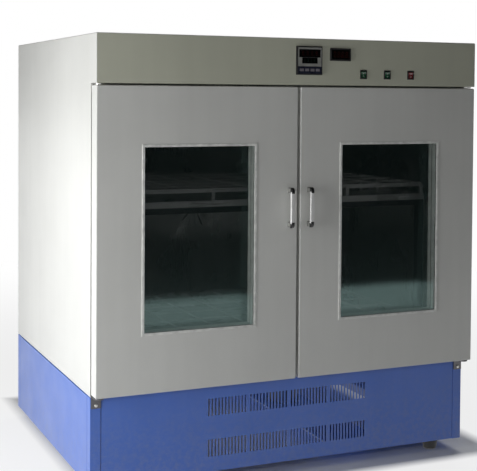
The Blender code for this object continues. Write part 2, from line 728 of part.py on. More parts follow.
def build_gasket(side, word):
    outer = side * (HALF - GASKET_FROM_HINGE_EDGE)
    inner = side * (DOOR_GAP / 2 + GASKET_FROM_FREE_EDGE)
    left, right = min(outer, inner), max(outer, inner)
    low, high = DOOR_BOTTOM + GASKET_FROM_ENDS, DOOR_TOP - GASKET_FROM_ENDS
    loops = [rectangle(left, right, low, high),
             rectangle(left + GASKET_WIDTH, right - GASKET_WIDTH, low + GASKET_WIDTH, high - GASKET_WIDTH)]
    return outline("door_gasket_" + word, loops, DOOR_BACK + SEAT, CABINET_FRONT - SEAT, "XZ", GREY_RUBBER)


def handle_outline():
    """Side view of the bow handle: (forward, height) points round the grip and its two ends."""
    half = HANDLE_LENGTH / 2
    out = HANDLE_REACH - SEAT
    bend, inner = HANDLE_CORNER, HANDLE_INNER_CORNER
    reach_in = out - HANDLE_BAR
    inside = half - HANDLE_END
    points = [(0, -half)]
    points += arc((-out + bend, -half + bend), bend, -math.pi / 2, -math.pi, 4)
    points += arc((-out + bend, half - bend), bend, math.pi, math.pi / 2, 4)
    points += [(0, half), (0, inside)]
    points += arc((-reach_in + inner, inside - inner), inner, math.pi / 2, math.pi, 3)
    points += arc((-reach_in + inner, -inside + inner), inner, math.pi, 3 * math.pi / 2, 3)
    points += [(0, -inside)]
    return points


def build_handle(side, word):
    seat = FRONT - SEAT
    points = [(seat + forward, HANDLE_HEIGHT + height) for forward, height in handle_outline()]
    middle = side * HANDLE_FROM_CENTRE
    handle = outline("door_handle_" + word, [points], middle - HANDLE_THICKNESS / 2,
                     middle + HANDLE_THICKNESS / 2, "YZ", BRIGHT_STEEL)
    edge = handle.modifiers.new("edge", "BEVEL")
    edge.width = HANDLE_EDGE_RADIUS
    edge.segments = 2
    edge.limit_method = "ANGLE"
    edge.angle_limit = math.radians(60)
    return handle


def build_hinge_bracket(side, word, top):
    """Pivot plate with a round tip, a bolted leg turned down and the pin that the door turns on."""
    if top:
        low = HEADER_BOTTOM - (DOOR_TOP_GAP + BRACKET_SHEET) / 2
        leg_height = UPPER_BRACKET_LEG
        pin_low, pin_high = DOOR_TOP - HINGE_PIN_LENGTH, low + BRACKET_SHEET / 2
    else:
        low = BASE_TOP + (DOOR_BOTTOM_GAP - BRACKET_SHEET) / 2
        leg_height = LOWER_BRACKET_LEG
        pin_low, pin_high = low + BRACKET_SHEET / 2, DOOR_BOTTOM + HINGE_PIN_LENGTH
    name = "hinge_bracket_" + word + ("_top" if top else "_bottom")
    half = BRACKET_WIDTH / 2
    centre = side * HINGE_X
    back = CABINET_FRONT - SEAT
    loop = arc((centre, HINGE_Y), half, math.pi, math.tau, 10)
    loop += [(centre + half, back), (centre - half, back)]
    bracket = outline(name, [loop], low, low + BRACKET_SHEET, "XY", BRIGHT_STEEL)
    leg_top = low + BRACKET_SHEET
    leg = block(name + "_leg", (centre - half, back - BRACKET_SHEET, leg_top - leg_height),
                (centre + half, back, leg_top))
    pin = cylinder(name + "_pin", (centre, HINGE_Y), HINGE_PIN_RADIUS, pin_low, pin_high, 16)
    return fuse(bracket, leg, pin)


# Controls
def build_controller():
    half = CONTROLLER_SIZE / 2
    face = FRONT - CONTROLLER_PROUD
    controller = block("temperature_controller", (CONTROLLER_X - half, face, CONTROLLER_Z - half),
                       (CONTROLLER_X + half, FRONT - SEAT, CONTROLLER_Z + half), BLACK_PLASTIC)
    round_edges(controller, CONTROLLER_EDGE_RADIUS, 2, on_front)
    half_body = CONTROLLER_BODY / 2
    body = block("controller_body", (CONTROLLER_X - half_body, FRONT - 2 * SEAT, CONTROLLER_Z - half_body),
                 (CONTROLLER_X + half_body, FRONT + CONTROLLER_BODY_DEPTH, CONTROLLER_Z + half_body))
    fuse(controller, body)
    screens = [(UPPER_SCREEN_WIDTH, UPPER_SCREEN_HEIGHT, UPPER_SCREEN_RISE),
               (LOWER_SCREEN_WIDTH, LOWER_SCREEN_HEIGHT, 0.0)]
    corners = [((CONTROLLER_X - width / 2, face - CONTROLLER_PROUD, CONTROLLER_Z + up - height / 2),
                (CONTROLLER_X + width / 2, face + SCREEN_RECESS, CONTROLLER_Z + up + height / 2))
               for width, height, up in screens]
    well = KEY_DEPTH - KEY_PROUD + KEY_TRAVEL + SEAT
    for x in key_places():
        corners.append(((x - KEY_WIDTH / 2 - SEAT, face - CONTROLLER_PROUD,
                         key_level() - KEY_HEIGHT / 2 - SEAT),
                        (x + KEY_WIDTH / 2 + SEAT, face + well, key_level() + KEY_HEIGHT / 2 + SEAT)))
    cut(controller, blocks("controller_recesses", corners))
    return controller


def key_places():
    return [CONTROLLER_X + (index - (KEY_COUNT - 1) / 2) * KEY_PITCH for index in range(KEY_COUNT)]


def key_level():
    return CONTROLLER_Z - CONTROLLER_SIZE / 2 + KEY_HEIGHT / 2 + KEYS_ABOVE_EDGE


def build_controller_keys():
    face = FRONT - CONTROLLER_PROUD
    key_front = face - KEY_PROUD
    level = key_level()
    for index, x in enumerate(key_places()):
        key = block("controller_key_%d" % (index + 1), (x - KEY_WIDTH / 2, key_front, level - KEY_HEIGHT / 2),
                    (x + KEY_WIDTH / 2, key_front + KEY_DEPTH, level + KEY_HEIGHT / 2), GREY_PLASTIC)
        round_edges(key, KEY_EDGE_RADIUS, 1, on_front)
        move_origin(key, (x, face, level))


def move_origin(item, place):
    item.data.transform(Matrix.Translation(-Vector(place)))
    item.location = place


def build_display():
    half_width, half_height = DISPLAY_WIDTH / 2, DISPLAY_HEIGHT / 2
    face = FRONT - DISPLAY_PROUD
    display = block("speed_display", (DISPLAY_X - half_width, face, DISPLAY_Z - half_height),
                    (DISPLAY_X + half_width, FRONT - SEAT, DISPLAY_Z + half_height), BLACK_PLASTIC)
    round_edges(display, DISPLAY_EDGE_RADIUS, 2, on_front)
    body_width, body_height = DISPLAY_BODY_WIDTH / 2, DISPLAY_BODY_HEIGHT / 2
    fuse(display, block("display_body", (DISPLAY_X - body_width, FRONT - 2 * SEAT, DISPLAY_Z - body_height),
                        (DISPLAY_X + body_width, FRONT + DISPLAY_BODY_DEPTH, DISPLAY_Z + body_height)))
    inner_width, inner_height = half_width - DISPLAY_LIP, half_height - DISPLAY_LIP
    window = block("display_window", (DISPLAY_X - inner_width, face - DISPLAY_PROUD,
                                      DISPLAY_Z - inner_height),
                   (DISPLAY_X + inner_width, face + SCREEN_RECESS, DISPLAY_Z + inner_height))
    return cut(display, window)


def build_switch(x, word, finish):
    face = FRONT - SWITCH_PROUD
    bezel = block("switch_bezel_" + word, (x - SWITCH_WIDTH / 2, face, SWITCH_Z - SWITCH_HEIGHT / 2),
                  (x + SWITCH_WIDTH / 2, FRONT - SEAT, SWITCH_Z + SWITCH_HEIGHT / 2), BLACK_PLASTIC)
    round_edges(bezel, SWITCH_EDGE_RADIUS, 1, on_front)
    fuse(bezel, block("switch_body_" + word,
                      (x - SWITCH_BODY_WIDTH / 2, FRONT - 2 * SEAT, SWITCH_Z - SWITCH_BODY_HEIGHT / 2),
                      (x + SWITCH_BODY_WIDTH / 2, FRONT + SWITCH_BODY_DEPTH,
                       SWITCH_Z + SWITCH_BODY_HEIGHT / 2)))
    well_width = ROCKER_WIDTH / 2 + SEAT
    well_height = ROCKER_RADIUS + PIN_PLAY
    cut(bezel, block("switch_well_" + word, (x - well_width, face - SWITCH_PROUD, SWITCH_Z - well_height),
                     (x + well_width, face + SWITCH_WELL_DEPTH, SWITCH_Z + well_height)))
    pivot = Vector((x, face + ROCKER_PIVOT_DEPTH, SWITCH_Z))
    reach = well_width + TRUNNION_LENGTH + SEAT
    sideways = Vector((1, 0, 0))
    cut(bezel, rod("switch_pivot_hole_" + word, pivot - sideways * reach, pivot + sideways * reach,
                   TRUNNION_RADIUS + PIN_PLAY, 10))
    build_rocker(pivot, word, finish)


def build_rocker(pivot, word, finish):
    """A rocker with a shallow valley on its face, round ends and a trunnion on each side."""
    rise = math.tan(ROCKER_TILT)
    ahead = ROCKER_CROWN + rise * ROCKER_RADIUS * ROCKER_FACE_SHARE
    end_angle = math.asin(ahead / ROCKER_RADIUS)
    ends = arc((0, 0), ROCKER_RADIUS, end_angle, -ROCKER_TAIL, 5)
    upper = [(-up, across) for across, up in ends]
    lower = [(forward, -height) for forward, height in reversed(upper)]
    loop = [(-ROCKER_CROWN, 0)] + upper + lower
    rocker = outline("switch_rocker_" + word, [loop], -ROCKER_WIDTH / 2, ROCKER_WIDTH / 2, "YZ", finish)
    reach = Vector((ROCKER_WIDTH / 2 + SEAT + TRUNNION_LENGTH, 0, 0))
    axle = rod("rocker_axle_" + word, pivot - reach, pivot + reach, TRUNNION_RADIUS, 10)
    rocker.location = pivot
    rocker.rotation_euler = (ROCKER_TILT, 0, 0)
    fuse(rocker, axle)


# Base
def build_base_frame():
    """Welded tube frame: corner posts, inset rails, deck beams, motor plate and foot plates."""
    low, high = FOOT_HEIGHT, BASE_TOP - SEAT
    frame = None
    pieces = []
    for sx in (-1, 1):
        for y0 in (CABINET_FRONT, CABINET_BACK - POST_SIZE):
            x0 = sx * HALF if sx < 0 else HALF - POST_SIZE
            pieces.append(((x0, y0, low), (x0 + POST_SIZE, y0 + POST_SIZE, high)))
    inset = RAIL_INSET
    lap = POST_SIZE / 2
    for z0 in (low, high - RAIL_SIZE):
        for y0 in (CABINET_FRONT + inset, CABINET_BACK - inset - RAIL_SIZE):
            pieces.append(((-HALF + lap, y0, z0), (HALF - lap, y0 + RAIL_SIZE, z0 + RAIL_SIZE)))
        for x0 in (-HALF + inset, HALF - inset - RAIL_SIZE):
            pieces.append(((x0, CABINET_FRONT + lap, z0), (x0 + RAIL_SIZE, CABINET_BACK - lap,
                                                           z0 + RAIL_SIZE)))
    inner_front = CABINET_FRONT + inset + RAIL_SIZE / 2
    inner_back = CABINET_BACK - inset - RAIL_SIZE / 2
    beam_top = DECK_BOTTOM - SEAT
    for x in (-DECK_BEAM_X, DECK_BEAM_X):
        pieces.append(((x - DECK_BEAM_SIZE / 2, inner_front, beam_top - DECK_BEAM_SIZE),
                       (x + DECK_BEAM_SIZE / 2, inner_back, beam_top)))
    plate_top = low + RAIL_SIZE
    pieces.append(((MOTOR.x - MOTOR_PLATE_WIDTH / 2, inner_front, plate_top - MOTOR_PLATE_THICKNESS),
                   (MOTOR.x + MOTOR_PLATE_WIDTH / 2, inner_back, plate_top)))
    for x, y in foot_places():
        corner_x = math.copysign(HALF - inset - RAIL_SIZE / 2, x)
        corner_y = inner_front if y < 0 else inner_back
        left, right = sorted((corner_x, x - math.copysign(FOOT_PLATE_REACH, x)))
        front, back = sorted((corner_y, y - math.copysign(FOOT_PLATE_REACH, y)))
        pieces.append(((left, front, low), (right, back, low + FOOT_PLATE_THICKNESS)))
    for index, (corner_low, corner_high) in enumerate(pieces):
        if frame is None:
            frame = block("base_frame", corner_low, corner_high, BLUE_PAINT)
        else:
            fuse(frame, block("base_frame_member_%02d" % index, corner_low, corner_high))
    return frame


def foot_places():
    x = HALF - FOOT_FROM_SIDE
    front, back = CABINET_FRONT + FOOT_FROM_FRONT, CABINET_BACK - FOOT_FROM_FRONT
    return [(sx * x, y) for sx in (-1, 1) for y in (front, back)]


def build_feet():
    top = FOOT_HEIGHT - SEAT
    slope = (FOOT_TOP_RADIUS - FOOT_BOTTOM_RADIUS) / FOOT_HEIGHT
    profile = [(0, top), (FOOT_TOP_RADIUS - FOOT_EDGE, top), (FOOT_TOP_RADIUS, top - FOOT_EDGE),
               (FOOT_BOTTOM_RADIUS + slope * FOOT_EDGE, FOOT_EDGE), (FOOT_BOTTOM_RADIUS - FOOT_EDGE, 0),
               (0, 0)]
    words = ("left_front", "left_back", "right_front", "right_back")
    for word, (x, y) in zip(words, foot_places()):
        turned("foot_" + word, profile, (x, y, 0), 20, BLACK_RUBBER)


def build_base_panels():
    front = tray("base_front_panel", (-PANEL_HALF, CABINET_FRONT, PANEL_BOTTOM),
                 (PANEL_HALF, CABINET_FRONT + PANEL_FOLD, PANEL_TOP), (0, 1, 0), PANEL_SHEET, BLUE_PAINT)
    slots = []
    for group in range(SLOT_GROUPS):
        group_x = (group - (SLOT_GROUPS - 1) / 2) * SLOT_GROUP_PITCH
        for index in range(SLOTS_IN_GROUP):
            x = group_x + (index - (SLOTS_IN_GROUP - 1) / 2) * SLOT_PITCH
            for row in SLOT_ROWS_FROM_MIDDLE:
                z = BASE_MIDDLE + row
                slots.append(((x - SLOT_WIDTH / 2, CABINET_FRONT - PANEL_FOLD, z - SLOT_HEIGHT / 2),
                              (x + SLOT_WIDTH / 2, CABINET_FRONT + PANEL_FOLD / 2, z + SLOT_HEIGHT / 2)))
    cut(front, blocks("vent_slots", slots))
    tray("base_back_panel", (-PANEL_HALF, CABINET_BACK - PANEL_FOLD, PANEL_BOTTOM),
         (PANEL_HALF, CABINET_BACK, PANEL_TOP), (0, -1, 0), PANEL_SHEET, BLUE_PAINT)
    y0 = CABINET_FRONT + POST_SIZE + PANEL_SEAM
    y1 = CABINET_BACK - POST_SIZE - PANEL_SEAM
    tray("base_left_panel", (-HALF, y0, PANEL_BOTTOM), (-HALF + PANEL_FOLD, y1, PANEL_TOP), (1, 0, 0),
         PANEL_SHEET, BLUE_PAINT)
    tray("base_right_panel", (HALF - PANEL_FOLD, y0, PANEL_BOTTOM), (HALF, y1, PANEL_TOP), (-1, 0, 0),
         PANEL_SHEET, BLUE_PAINT)


# Drive
def build_drive_deck():
    half = DECK_BEAM_X + DECK_MARGIN
    deck = block("drive_deck", (-half, DECK_Y - DECK_DEPTH / 2, DECK_BOTTOM),
                 (half, DECK_Y + DECK_DEPTH / 2, DECK_TOP), DARK_STEEL)
    shafts = (("main", MAIN_CRANK, MAIN_SHAFT_RADIUS), ("left", IDLER_CRANK_LEFT, IDLER_SHAFT_RADIUS),
              ("right", IDLER_CRANK_RIGHT, IDLER_SHAFT_RADIUS))
    for word, centre, _ in shafts:
        fuse(deck, cylinder("bearing_housing_" + word, centre, HOUSING_RADIUS, HOUSING_BOTTOM,
                            DECK_TOP + HOUSING_ABOVE))
    for word, centre, radius in shafts:
        cut(deck, cylinder("bearing_bore_" + word, centre, radius + RUNNING, HOUSING_BOTTOM - DECK_THICKNESS,
                           BASE_TOP + DECK_THICKNESS))
    return deck


def add_crank(name, centre, shaft_radius, shaft_bottom, finish):
    """A shaft with a disc on top and a pin set off by the orbit radius."""
    disc_under = CRANK_DISC_BOTTOM
    profile = [(0, CRANK_DISC_TOP), (CRANK_DISC_RADIUS, CRANK_DISC_TOP), (CRANK_DISC_RADIUS, disc_under),
               (shaft_radius, disc_under), (shaft_radius, shaft_bottom), (0, shaft_bottom)]
    crank = turned(name, profile, (centre.x, centre.y, 0), 20, finish)
    pin_centre = centre + PIN_OFFSET
    pin = cylinder(name + "_pin", pin_centre, CRANK_PIN_RADIUS, CRANK_DISC_TOP - CRANK_DISC_THICKNESS / 2,
                   LOWER_RAIL_TOP - RUNNING)
    return fuse(crank, pin)


def build_main_crank():
    crank = add_crank("main_crank", MAIN_CRANK, MAIN_SHAFT_RADIUS, PULLEY_BOTTOM, BRIGHT_STEEL)
    centre = (MAIN_CRANK.x, MAIN_CRANK.y)
    sector = arc(centre, COUNTERWEIGHT_RADIUS, 0, math.pi, 14)
    weight = outline("counterweight", [sector], COUNTERWEIGHT_BOTTOM, COUNTERWEIGHT_TOP)
    collar = cylinder("counterweight_collar", MAIN_CRANK, COUNTERWEIGHT_COLLAR, COUNTERWEIGHT_BOTTOM,
                      COUNTERWEIGHT_TOP)
    fuse(crank, weight, collar)
    pulley = build_main_pulley()
    joint_empty("main_crank_axis", MAIN_CRANK, crank, pulley)


def pulley_profile(radius, bore, web, rim, hub):
    """Flanged rim, thin web and full-height hub, as a closed loop of (radius, height) points."""
    top, bottom = PULLEY_TOP, PULLEY_BOTTOM
    middle = (top + bottom) / 2
    proud = radius + PULLEY_FLANGE_PROUD
    return [(proud, top), (proud, top - PULLEY_FLANGE), (radius, top - PULLEY_FLANGE),
            (radius, bottom + PULLEY_FLANGE), (proud, bottom + PULLEY_FLANGE), (proud, bottom),
            (radius - rim, bottom), (radius - rim, middle - web / 2), (hub, middle - web / 2), (hub, bottom),
            (bore, bottom), (bore, top), (hub, top), (hub, middle + web / 2),
            (radius - rim, middle + web / 2), (radius - rim, top)]


def build_main_pulley():
    profile = pulley_profile(MAIN_PULLEY_RADIUS, MAIN_SHAFT_RADIUS + SEAT, MAIN_PULLEY_WEB, MAIN_PULLEY_RIM,
                             MAIN_PULLEY_HUB_RADIUS)
    pulley = turned("main_pulley", profile, (MAIN_CRANK.x, MAIN_CRANK.y, 0), 36, ALUMINIUM)
    reach = (MAIN_PULLEY_HUB_RADIUS + MAIN_PULLEY_RADIUS - MAIN_PULLEY_RIM) / 2
    for index in range(MAIN_PULLEY_HOLES):
        angle = math.tau * index / MAIN_PULLEY_HOLES
        centre = (MAIN_CRANK.x + reach * math.cos(angle), MAIN_CRANK.y + reach * math.sin(angle))
        cut(pulley, cylinder("pulley_hole_%d" % index, centre, MAIN_PULLEY_HOLE_RADIUS,
                             PULLEY_BOTTOM - PULLEY_HEIGHT, PULLEY_TOP + PULLEY_HEIGHT, 12))
    return pulley


def build_idler_cranks():
    for word, centre in (("left", IDLER_CRANK_LEFT), ("right", IDLER_CRANK_RIGHT)):
        crank = add_crank("idler_crank_" + word, centre, IDLER_SHAFT_RADIUS, HOUSING_BOTTOM, BRIGHT_STEEL)
        joint_empty("idler_crank_axis_" + word, centre, crank)


def build_motor_pulley():
    radius = MOTOR_PULLEY_RADIUS
    proud = radius + PULLEY_FLANGE_PROUD
    shaft_end = PULLEY_BOTTOM - MOTOR_SHAFT_DEPTH
    profile = [(0, PULLEY_TOP), (proud, PULLEY_TOP), (proud, PULLEY_TOP - PULLEY_FLANGE),
               (radius, PULLEY_TOP - PULLEY_FLANGE), (radius, PULLEY_BOTTOM + PULLEY_FLANGE),
               (proud, PULLEY_BOTTOM + PULLEY_FLANGE), (proud, PULLEY_BOTTOM), (MOTOR_SHAFT_RADIUS,
                                                                                PULLEY_BOTTOM),
               (MOTOR_SHAFT_RADIUS, shaft_end), (0, shaft_end)]
    turned("motor_pulley", profile, (MOTOR.x, MOTOR.y, 0), 24, ALUMINIUM)


def build_drive_motor():
    low = FOOT_HEIGHT + RAIL_SIZE + SEAT
    boss_top = PULLEY_BOTTOM - MOTOR_BELOW_PULLEY
    top = boss_top - MOTOR_BOSS_HEIGHT
    bore = MOTOR_SHAFT_RADIUS + RUNNING
    bore_end = PULLEY_BOTTOM - MOTOR_SHAFT_DEPTH - MOTOR_BELOW_PULLEY
    flange = MOTOR_FLANGE_THICKNESS
    profile = [(0, bore_end), (bore, bore_end), (bore, boss_top), (MOTOR_BOSS_RADIUS, boss_top),
               (MOTOR_BOSS_RADIUS, top), (MOTOR_FLANGE_RADIUS, top), (MOTOR_FLANGE_RADIUS, top - flange),
               (MOTOR_RADIUS, top - flange), (MOTOR_RADIUS, low + flange), (MOTOR_FLANGE_RADIUS,
                                                                            low + flange),
               (MOTOR_FLANGE_RADIUS, low), (0, low)]
    motor = turned("drive_motor", profile, (MOTOR.x, MOTOR.y, 0), 20, DARK_STEEL)
    across, depth, height = TERMINAL_BOX
    middle = (low + top) / 2
    side = MOTOR.x + MOTOR_RADIUS - TERMINAL_BOX_SINK
    box = block("terminal_box", (side, MOTOR.y - across / 2, middle - height / 2),
                (side + depth, MOTOR.y + across / 2, middle + height / 2))
    return fuse(motor, box)


def belt_loop(grow):
    """The belt's path round both pulleys, at a distance grow from their rims."""
    lean = math.acos((MAIN_PULLEY_RADIUS - MOTOR_PULLEY_RADIUS) / MOTOR_DISTANCE)
    large = arc((MAIN_CRANK.x, MAIN_CRANK.y), MAIN_PULLEY_RADIUS + grow, lean, math.tau - lean, 30)
    small = arc((MOTOR.x, MOTOR.y), MOTOR_PULLEY_RADIUS + grow, -lean, lean, 10)
    return large + small


def build_drive_belt():
    low = PULLEY_BOTTOM + PULLEY_FLANGE + SEAT
    high = PULLEY_TOP - PULLEY_FLANGE - SEAT
    loops = [belt_loop(BELT_PLAY + BELT_THICKNESS), belt_loop(BELT_PLAY)]
    return outline("drive_belt", loops, low, high, "XY", BLACK_RUBBER)


# Shaking platform
def post_x():
    return TRAY_WIDTH / 2 + SEAT + FRAME_TUBE / 2


def build_platform_frame():
    """Two-tier frame: four posts, rails under both trays and three crank hubs."""
    half = FRAME_TUBE / 2
    pieces = []
    for sx in (-1, 1):
        for sy in (-1, 1):
            x, y = sx * post_x(), PLATFORM_Y + sy * PLATFORM_RAIL_SPREAD
            pieces.append(((x - half, y - half, PLATFORM_BOTTOM),
                           (x + half, y + half, UPPER_RAIL_TOP + POST_ABOVE_RAIL)))
    for top in (LOWER_RAIL_TOP, UPPER_RAIL_TOP):
        for sy in (-1, 1):
            y = PLATFORM_Y + sy * PLATFORM_RAIL_SPREAD
            pieces.append(((-post_x(), y - half, top - FRAME_TUBE), (post_x(), y + half, top)))
        for sx in (-1, 1):
            x = sx * post_x()
            pieces.append(((x - half, PLATFORM_Y - PLATFORM_RAIL_SPREAD, top - FRAME_TUBE),
                           (x + half, PLATFORM_Y + PLATFORM_RAIL_SPREAD, top)))
    hubs = [MAIN_CRANK, IDLER_CRANK_LEFT, IDLER_CRANK_RIGHT]
    for centre in hubs:
        pieces.append(((centre.x - half, PLATFORM_Y - PLATFORM_RAIL_SPREAD, PLATFORM_BOTTOM),
                       (centre.x + half, PLATFORM_Y + PLATFORM_RAIL_SPREAD, LOWER_RAIL_TOP)))
    frame = block("platform_frame", *pieces[0], ALUMINIUM)
    for index, (low, high) in enumerate(pieces[1:]):
        fuse(frame, block("platform_member_%02d" % index, low, high))
    for index, centre in enumerate(hubs):
        hub_centre = centre + PIN_OFFSET
        fuse(frame, cylinder("platform_hub_%d" % index, hub_centre, HUB_RADIUS, PLATFORM_BOTTOM,
                             LOWER_RAIL_TOP))
    for index, centre in enumerate(hubs):
        hub_centre = centre + PIN_OFFSET
        cut(frame, cylinder("platform_bore_%d" % index, hub_centre, CRANK_PIN_RADIUS + RUNNING,
                            PLATFORM_BOTTOM - FRAME_TUBE, LOWER_RAIL_TOP + FRAME_TUBE))
    return frame


def build_tray(name, top):
    """A rimmed tray with a raised rail ring, on short posts, for the spring rack."""
    low = top - TRAY_RIM
    half_width, half_depth = TRAY_WIDTH / 2, TRAY_DEPTH / 2
    item = tray(name, (-half_width, PLATFORM_Y - half_depth, low), (half_width, PLATFORM_Y + half_depth, top),
                (0, 0, 1), TRAY_SHEET, STAINLESS, TRAY_CORNER_RADIUS, runs_along(2), 3)
    rail_low = low + SPRING_LEVEL - RACK_RAIL_HEIGHT / 3
    rail_high = rail_low + RACK_RAIL_HEIGHT
    inset, sheet = RACK_RAIL_INSET, RACK_RAIL_SHEET
    ring = [rectangle(-half_width + gap, half_width - gap,
                      PLATFORM_Y - half_depth + gap, PLATFORM_Y + half_depth - gap)
            for gap in (inset, inset + sheet)]
    fuse(item, outline(name + "_rack_rail", ring, rail_low, rail_high))
    across = half_width - inset - sheet / 2
    deep = half_depth - inset - sheet / 2
    along = 2 * short_spring_pitch()
    beside = long_spring_pitch() / 2
    places = [(x, sy * deep) for sy in (-1, 1) for x in (-across, -along, along, across)]
    places += [(sx * across, y) for sx in (-1, 1) for y in (-beside, beside)]
    reach = RACK_POST / 2
    post_top = rail_low + RACK_RAIL_HEIGHT / 2
    for index, (x, y) in enumerate(places):
        centre_y = PLATFORM_Y + y
        fuse(item, block("%s_post_%02d" % (name, index), (x - reach, centre_y - reach, low + TRAY_SHEET / 2),
                         (x + reach, centre_y + reach, post_top)))
    return item


def short_spring_pitch():
    return TRAY_WIDTH / (SHORT_SPRINGS + 1)


def long_spring_pitch():
    return TRAY_DEPTH / (LONG_SPRINGS + 1)


def build_spring_net(name, top):
    """Crossing tension springs between a tray's rails: short ones below, long ones hooked over them."""
    level = top - TRAY_RIM + SPRING_LEVEL
    gap = RACK_RAIL_INSET + RACK_RAIL_SHEET + SEAT
    end_x, end_y = TRAY_WIDTH / 2 - gap, TRAY_DEPTH / 2 - gap
    upper = level + SPRING_CROSSING

    def build_short(bm):
        for index in range(SHORT_SPRINGS):
            x = (index - (SHORT_SPRINGS - 1) / 2) * short_spring_pitch()
            add_rod(bm, Vector((x, PLATFORM_Y - end_y, level)), Vector((x, PLATFORM_Y + end_y, level)),
                    SPRING_RADIUS, 6)

    def build_long(bm):
        for index in range(LONG_SPRINGS):
            y = PLATFORM_Y + (index - (LONG_SPRINGS - 1) / 2) * long_spring_pitch()
            add_rod(bm, Vector((-end_x, y, upper)), Vector((end_x, y, upper)), SPRING_RADIUS, 6)

    net = add_object(name, mesh_from(name, build_short), BRIGHT_STEEL)
    return fuse(net, add_object(name + "_long", mesh_from(name, build_long)))


def build_platform():
    pieces = [build_platform_frame()]
    for word, top in (("lower", LOWER_TRAY_TOP), ("upper", UPPER_TRAY_TOP)):
        pieces += [build_tray(word + "_tray", top), build_spring_net(word + "_spring_net", top)]
    joint_empty("platform_orbit_axis", MAIN_CRANK + PIN_OFFSET, *pieces)


# Air handling
def build_air_duct_panel():
    """Folded panel in front of the back wall, with a fan grille and two bands of outlet slots."""
    low = (-CHAMBER_HALF + DUCT_MARGIN, DUCT_FRONT, CHAMBER_FLOOR + DUCT_MARGIN)
    high = (CHAMBER_HALF - DUCT_MARGIN, CHAMBER_BACK - SEAT, CHAMBER_CEILING - DUCT_MARGIN)
    panel = tray("air_duct_panel", low, high, (0, 1, 0), DUCT_SHEET, STAINLESS)
    corners = []
    for index in range(DUCT_SLOT_COUNT):
        x = (index - (DUCT_SLOT_COUNT - 1) / 2) * DUCT_SLOT_PITCH
        for row in DUCT_SLOT_ROWS:
            for z in (high[2] - row, low[2] + row):
                corners.append(((x - DUCT_SLOT_WIDTH / 2, DUCT_FRONT - DUCT_SHEET, z - DUCT_SLOT_HEIGHT / 2),
                                (x + DUCT_SLOT_WIDTH / 2, DUCT_FRONT + 2 * DUCT_SHEET,
                                 z + DUCT_SLOT_HEIGHT / 2)))
    cut(panel, blocks("duct_slots", corners))

    def build_grille(bm):
        for index in range(GRILLE_SLOTS):
            turn = Matrix.Rotation(math.tau * index / GRILLE_SLOTS, 4, "Y")
            place = Matrix.Translation((0, DUCT_FRONT, FAN_Z)) @ turn
            middle = (GRILLE_INNER_RADIUS + GRILLE_OUTER_RADIUS) / 2
            length = GRILLE_OUTER_RADIUS - GRILLE_INNER_RADIUS
            spread = Matrix.Diagonal((length, 4 * DUCT_SHEET, GRILLE_SLOT_WIDTH, 1))
            bmesh.ops.create_cube(bm, size=1.0, matrix=place @ Matrix.Translation((middle, 0, 0)) @ spread)

    return cut(panel, add_object("grille_slots", mesh_from("grille_slots", build_grille)))


def build_fan():
    """Axial circulation fan on a motor that stands on the chamber's back wall."""
    back = CHAMBER_BACK - SEAT
    motor_front = back - FAN_MOTOR_DEPTH
    fan_front = DUCT_FRONT + FAN_BEHIND_PANEL
    shaft_end = fan_front
    profile = [(0, -shaft_end), (FAN_SHAFT_RADIUS, -shaft_end), (FAN_SHAFT_RADIUS, -motor_front),
               (FAN_MOTOR_NOSE, -motor_front), (FAN_MOTOR_RADIUS, -motor_front - FAN_MOTOR_DEPTH / 4),
               (FAN_MOTOR_RADIUS, -back), (0, -back)]
    turned("fan_motor", profile, (0, 0, FAN_Z), 16, DARK_STEEL, "-Y")
    fan_back = fan_front + FAN_HUB_DEPTH
    bore = FAN_SHAFT_RADIUS + SEAT
    hub = [(FAN_HUB_NOSE, -fan_front), (FAN_HUB_RADIUS, -fan_front - FAN_HUB_DEPTH / 4),
           (FAN_HUB_RADIUS, -fan_back), (bore, -fan_back), (bore, -fan_front)]
    fan = turned("fan_impeller", hub, (0, 0, FAN_Z), 16, ALUMINIUM, "-Y")
    middle_y = fan_front + FAN_HUB_DEPTH / 2
    for index in range(FAN_BLADES):
        turn = Matrix.Rotation(math.tau * index / FAN_BLADES, 4, "Y")
        pitch = Matrix.Rotation(FAN_BLADE_PITCH, 4, "X")
        spread = Matrix.Diagonal((FAN_RADIUS - FAN_BLADE_ROOT, FAN_BLADE_SHEET, FAN_BLADE_CHORD, 1))
        place = Matrix.Translation((0, middle_y, FAN_Z)) @ turn
        middle = Matrix.Translation(((FAN_RADIUS + FAN_BLADE_ROOT) / 2, 0, 0))
        shape = place @ middle @ pitch @ spread
        blade = mesh_from("fan_blade", lambda bm, shape=shape: bmesh.ops.create_cube(bm, size=1.0,
                                                                                     matrix=shape))
        fuse(fan, add_object("fan_blade_%d" % index, blade))


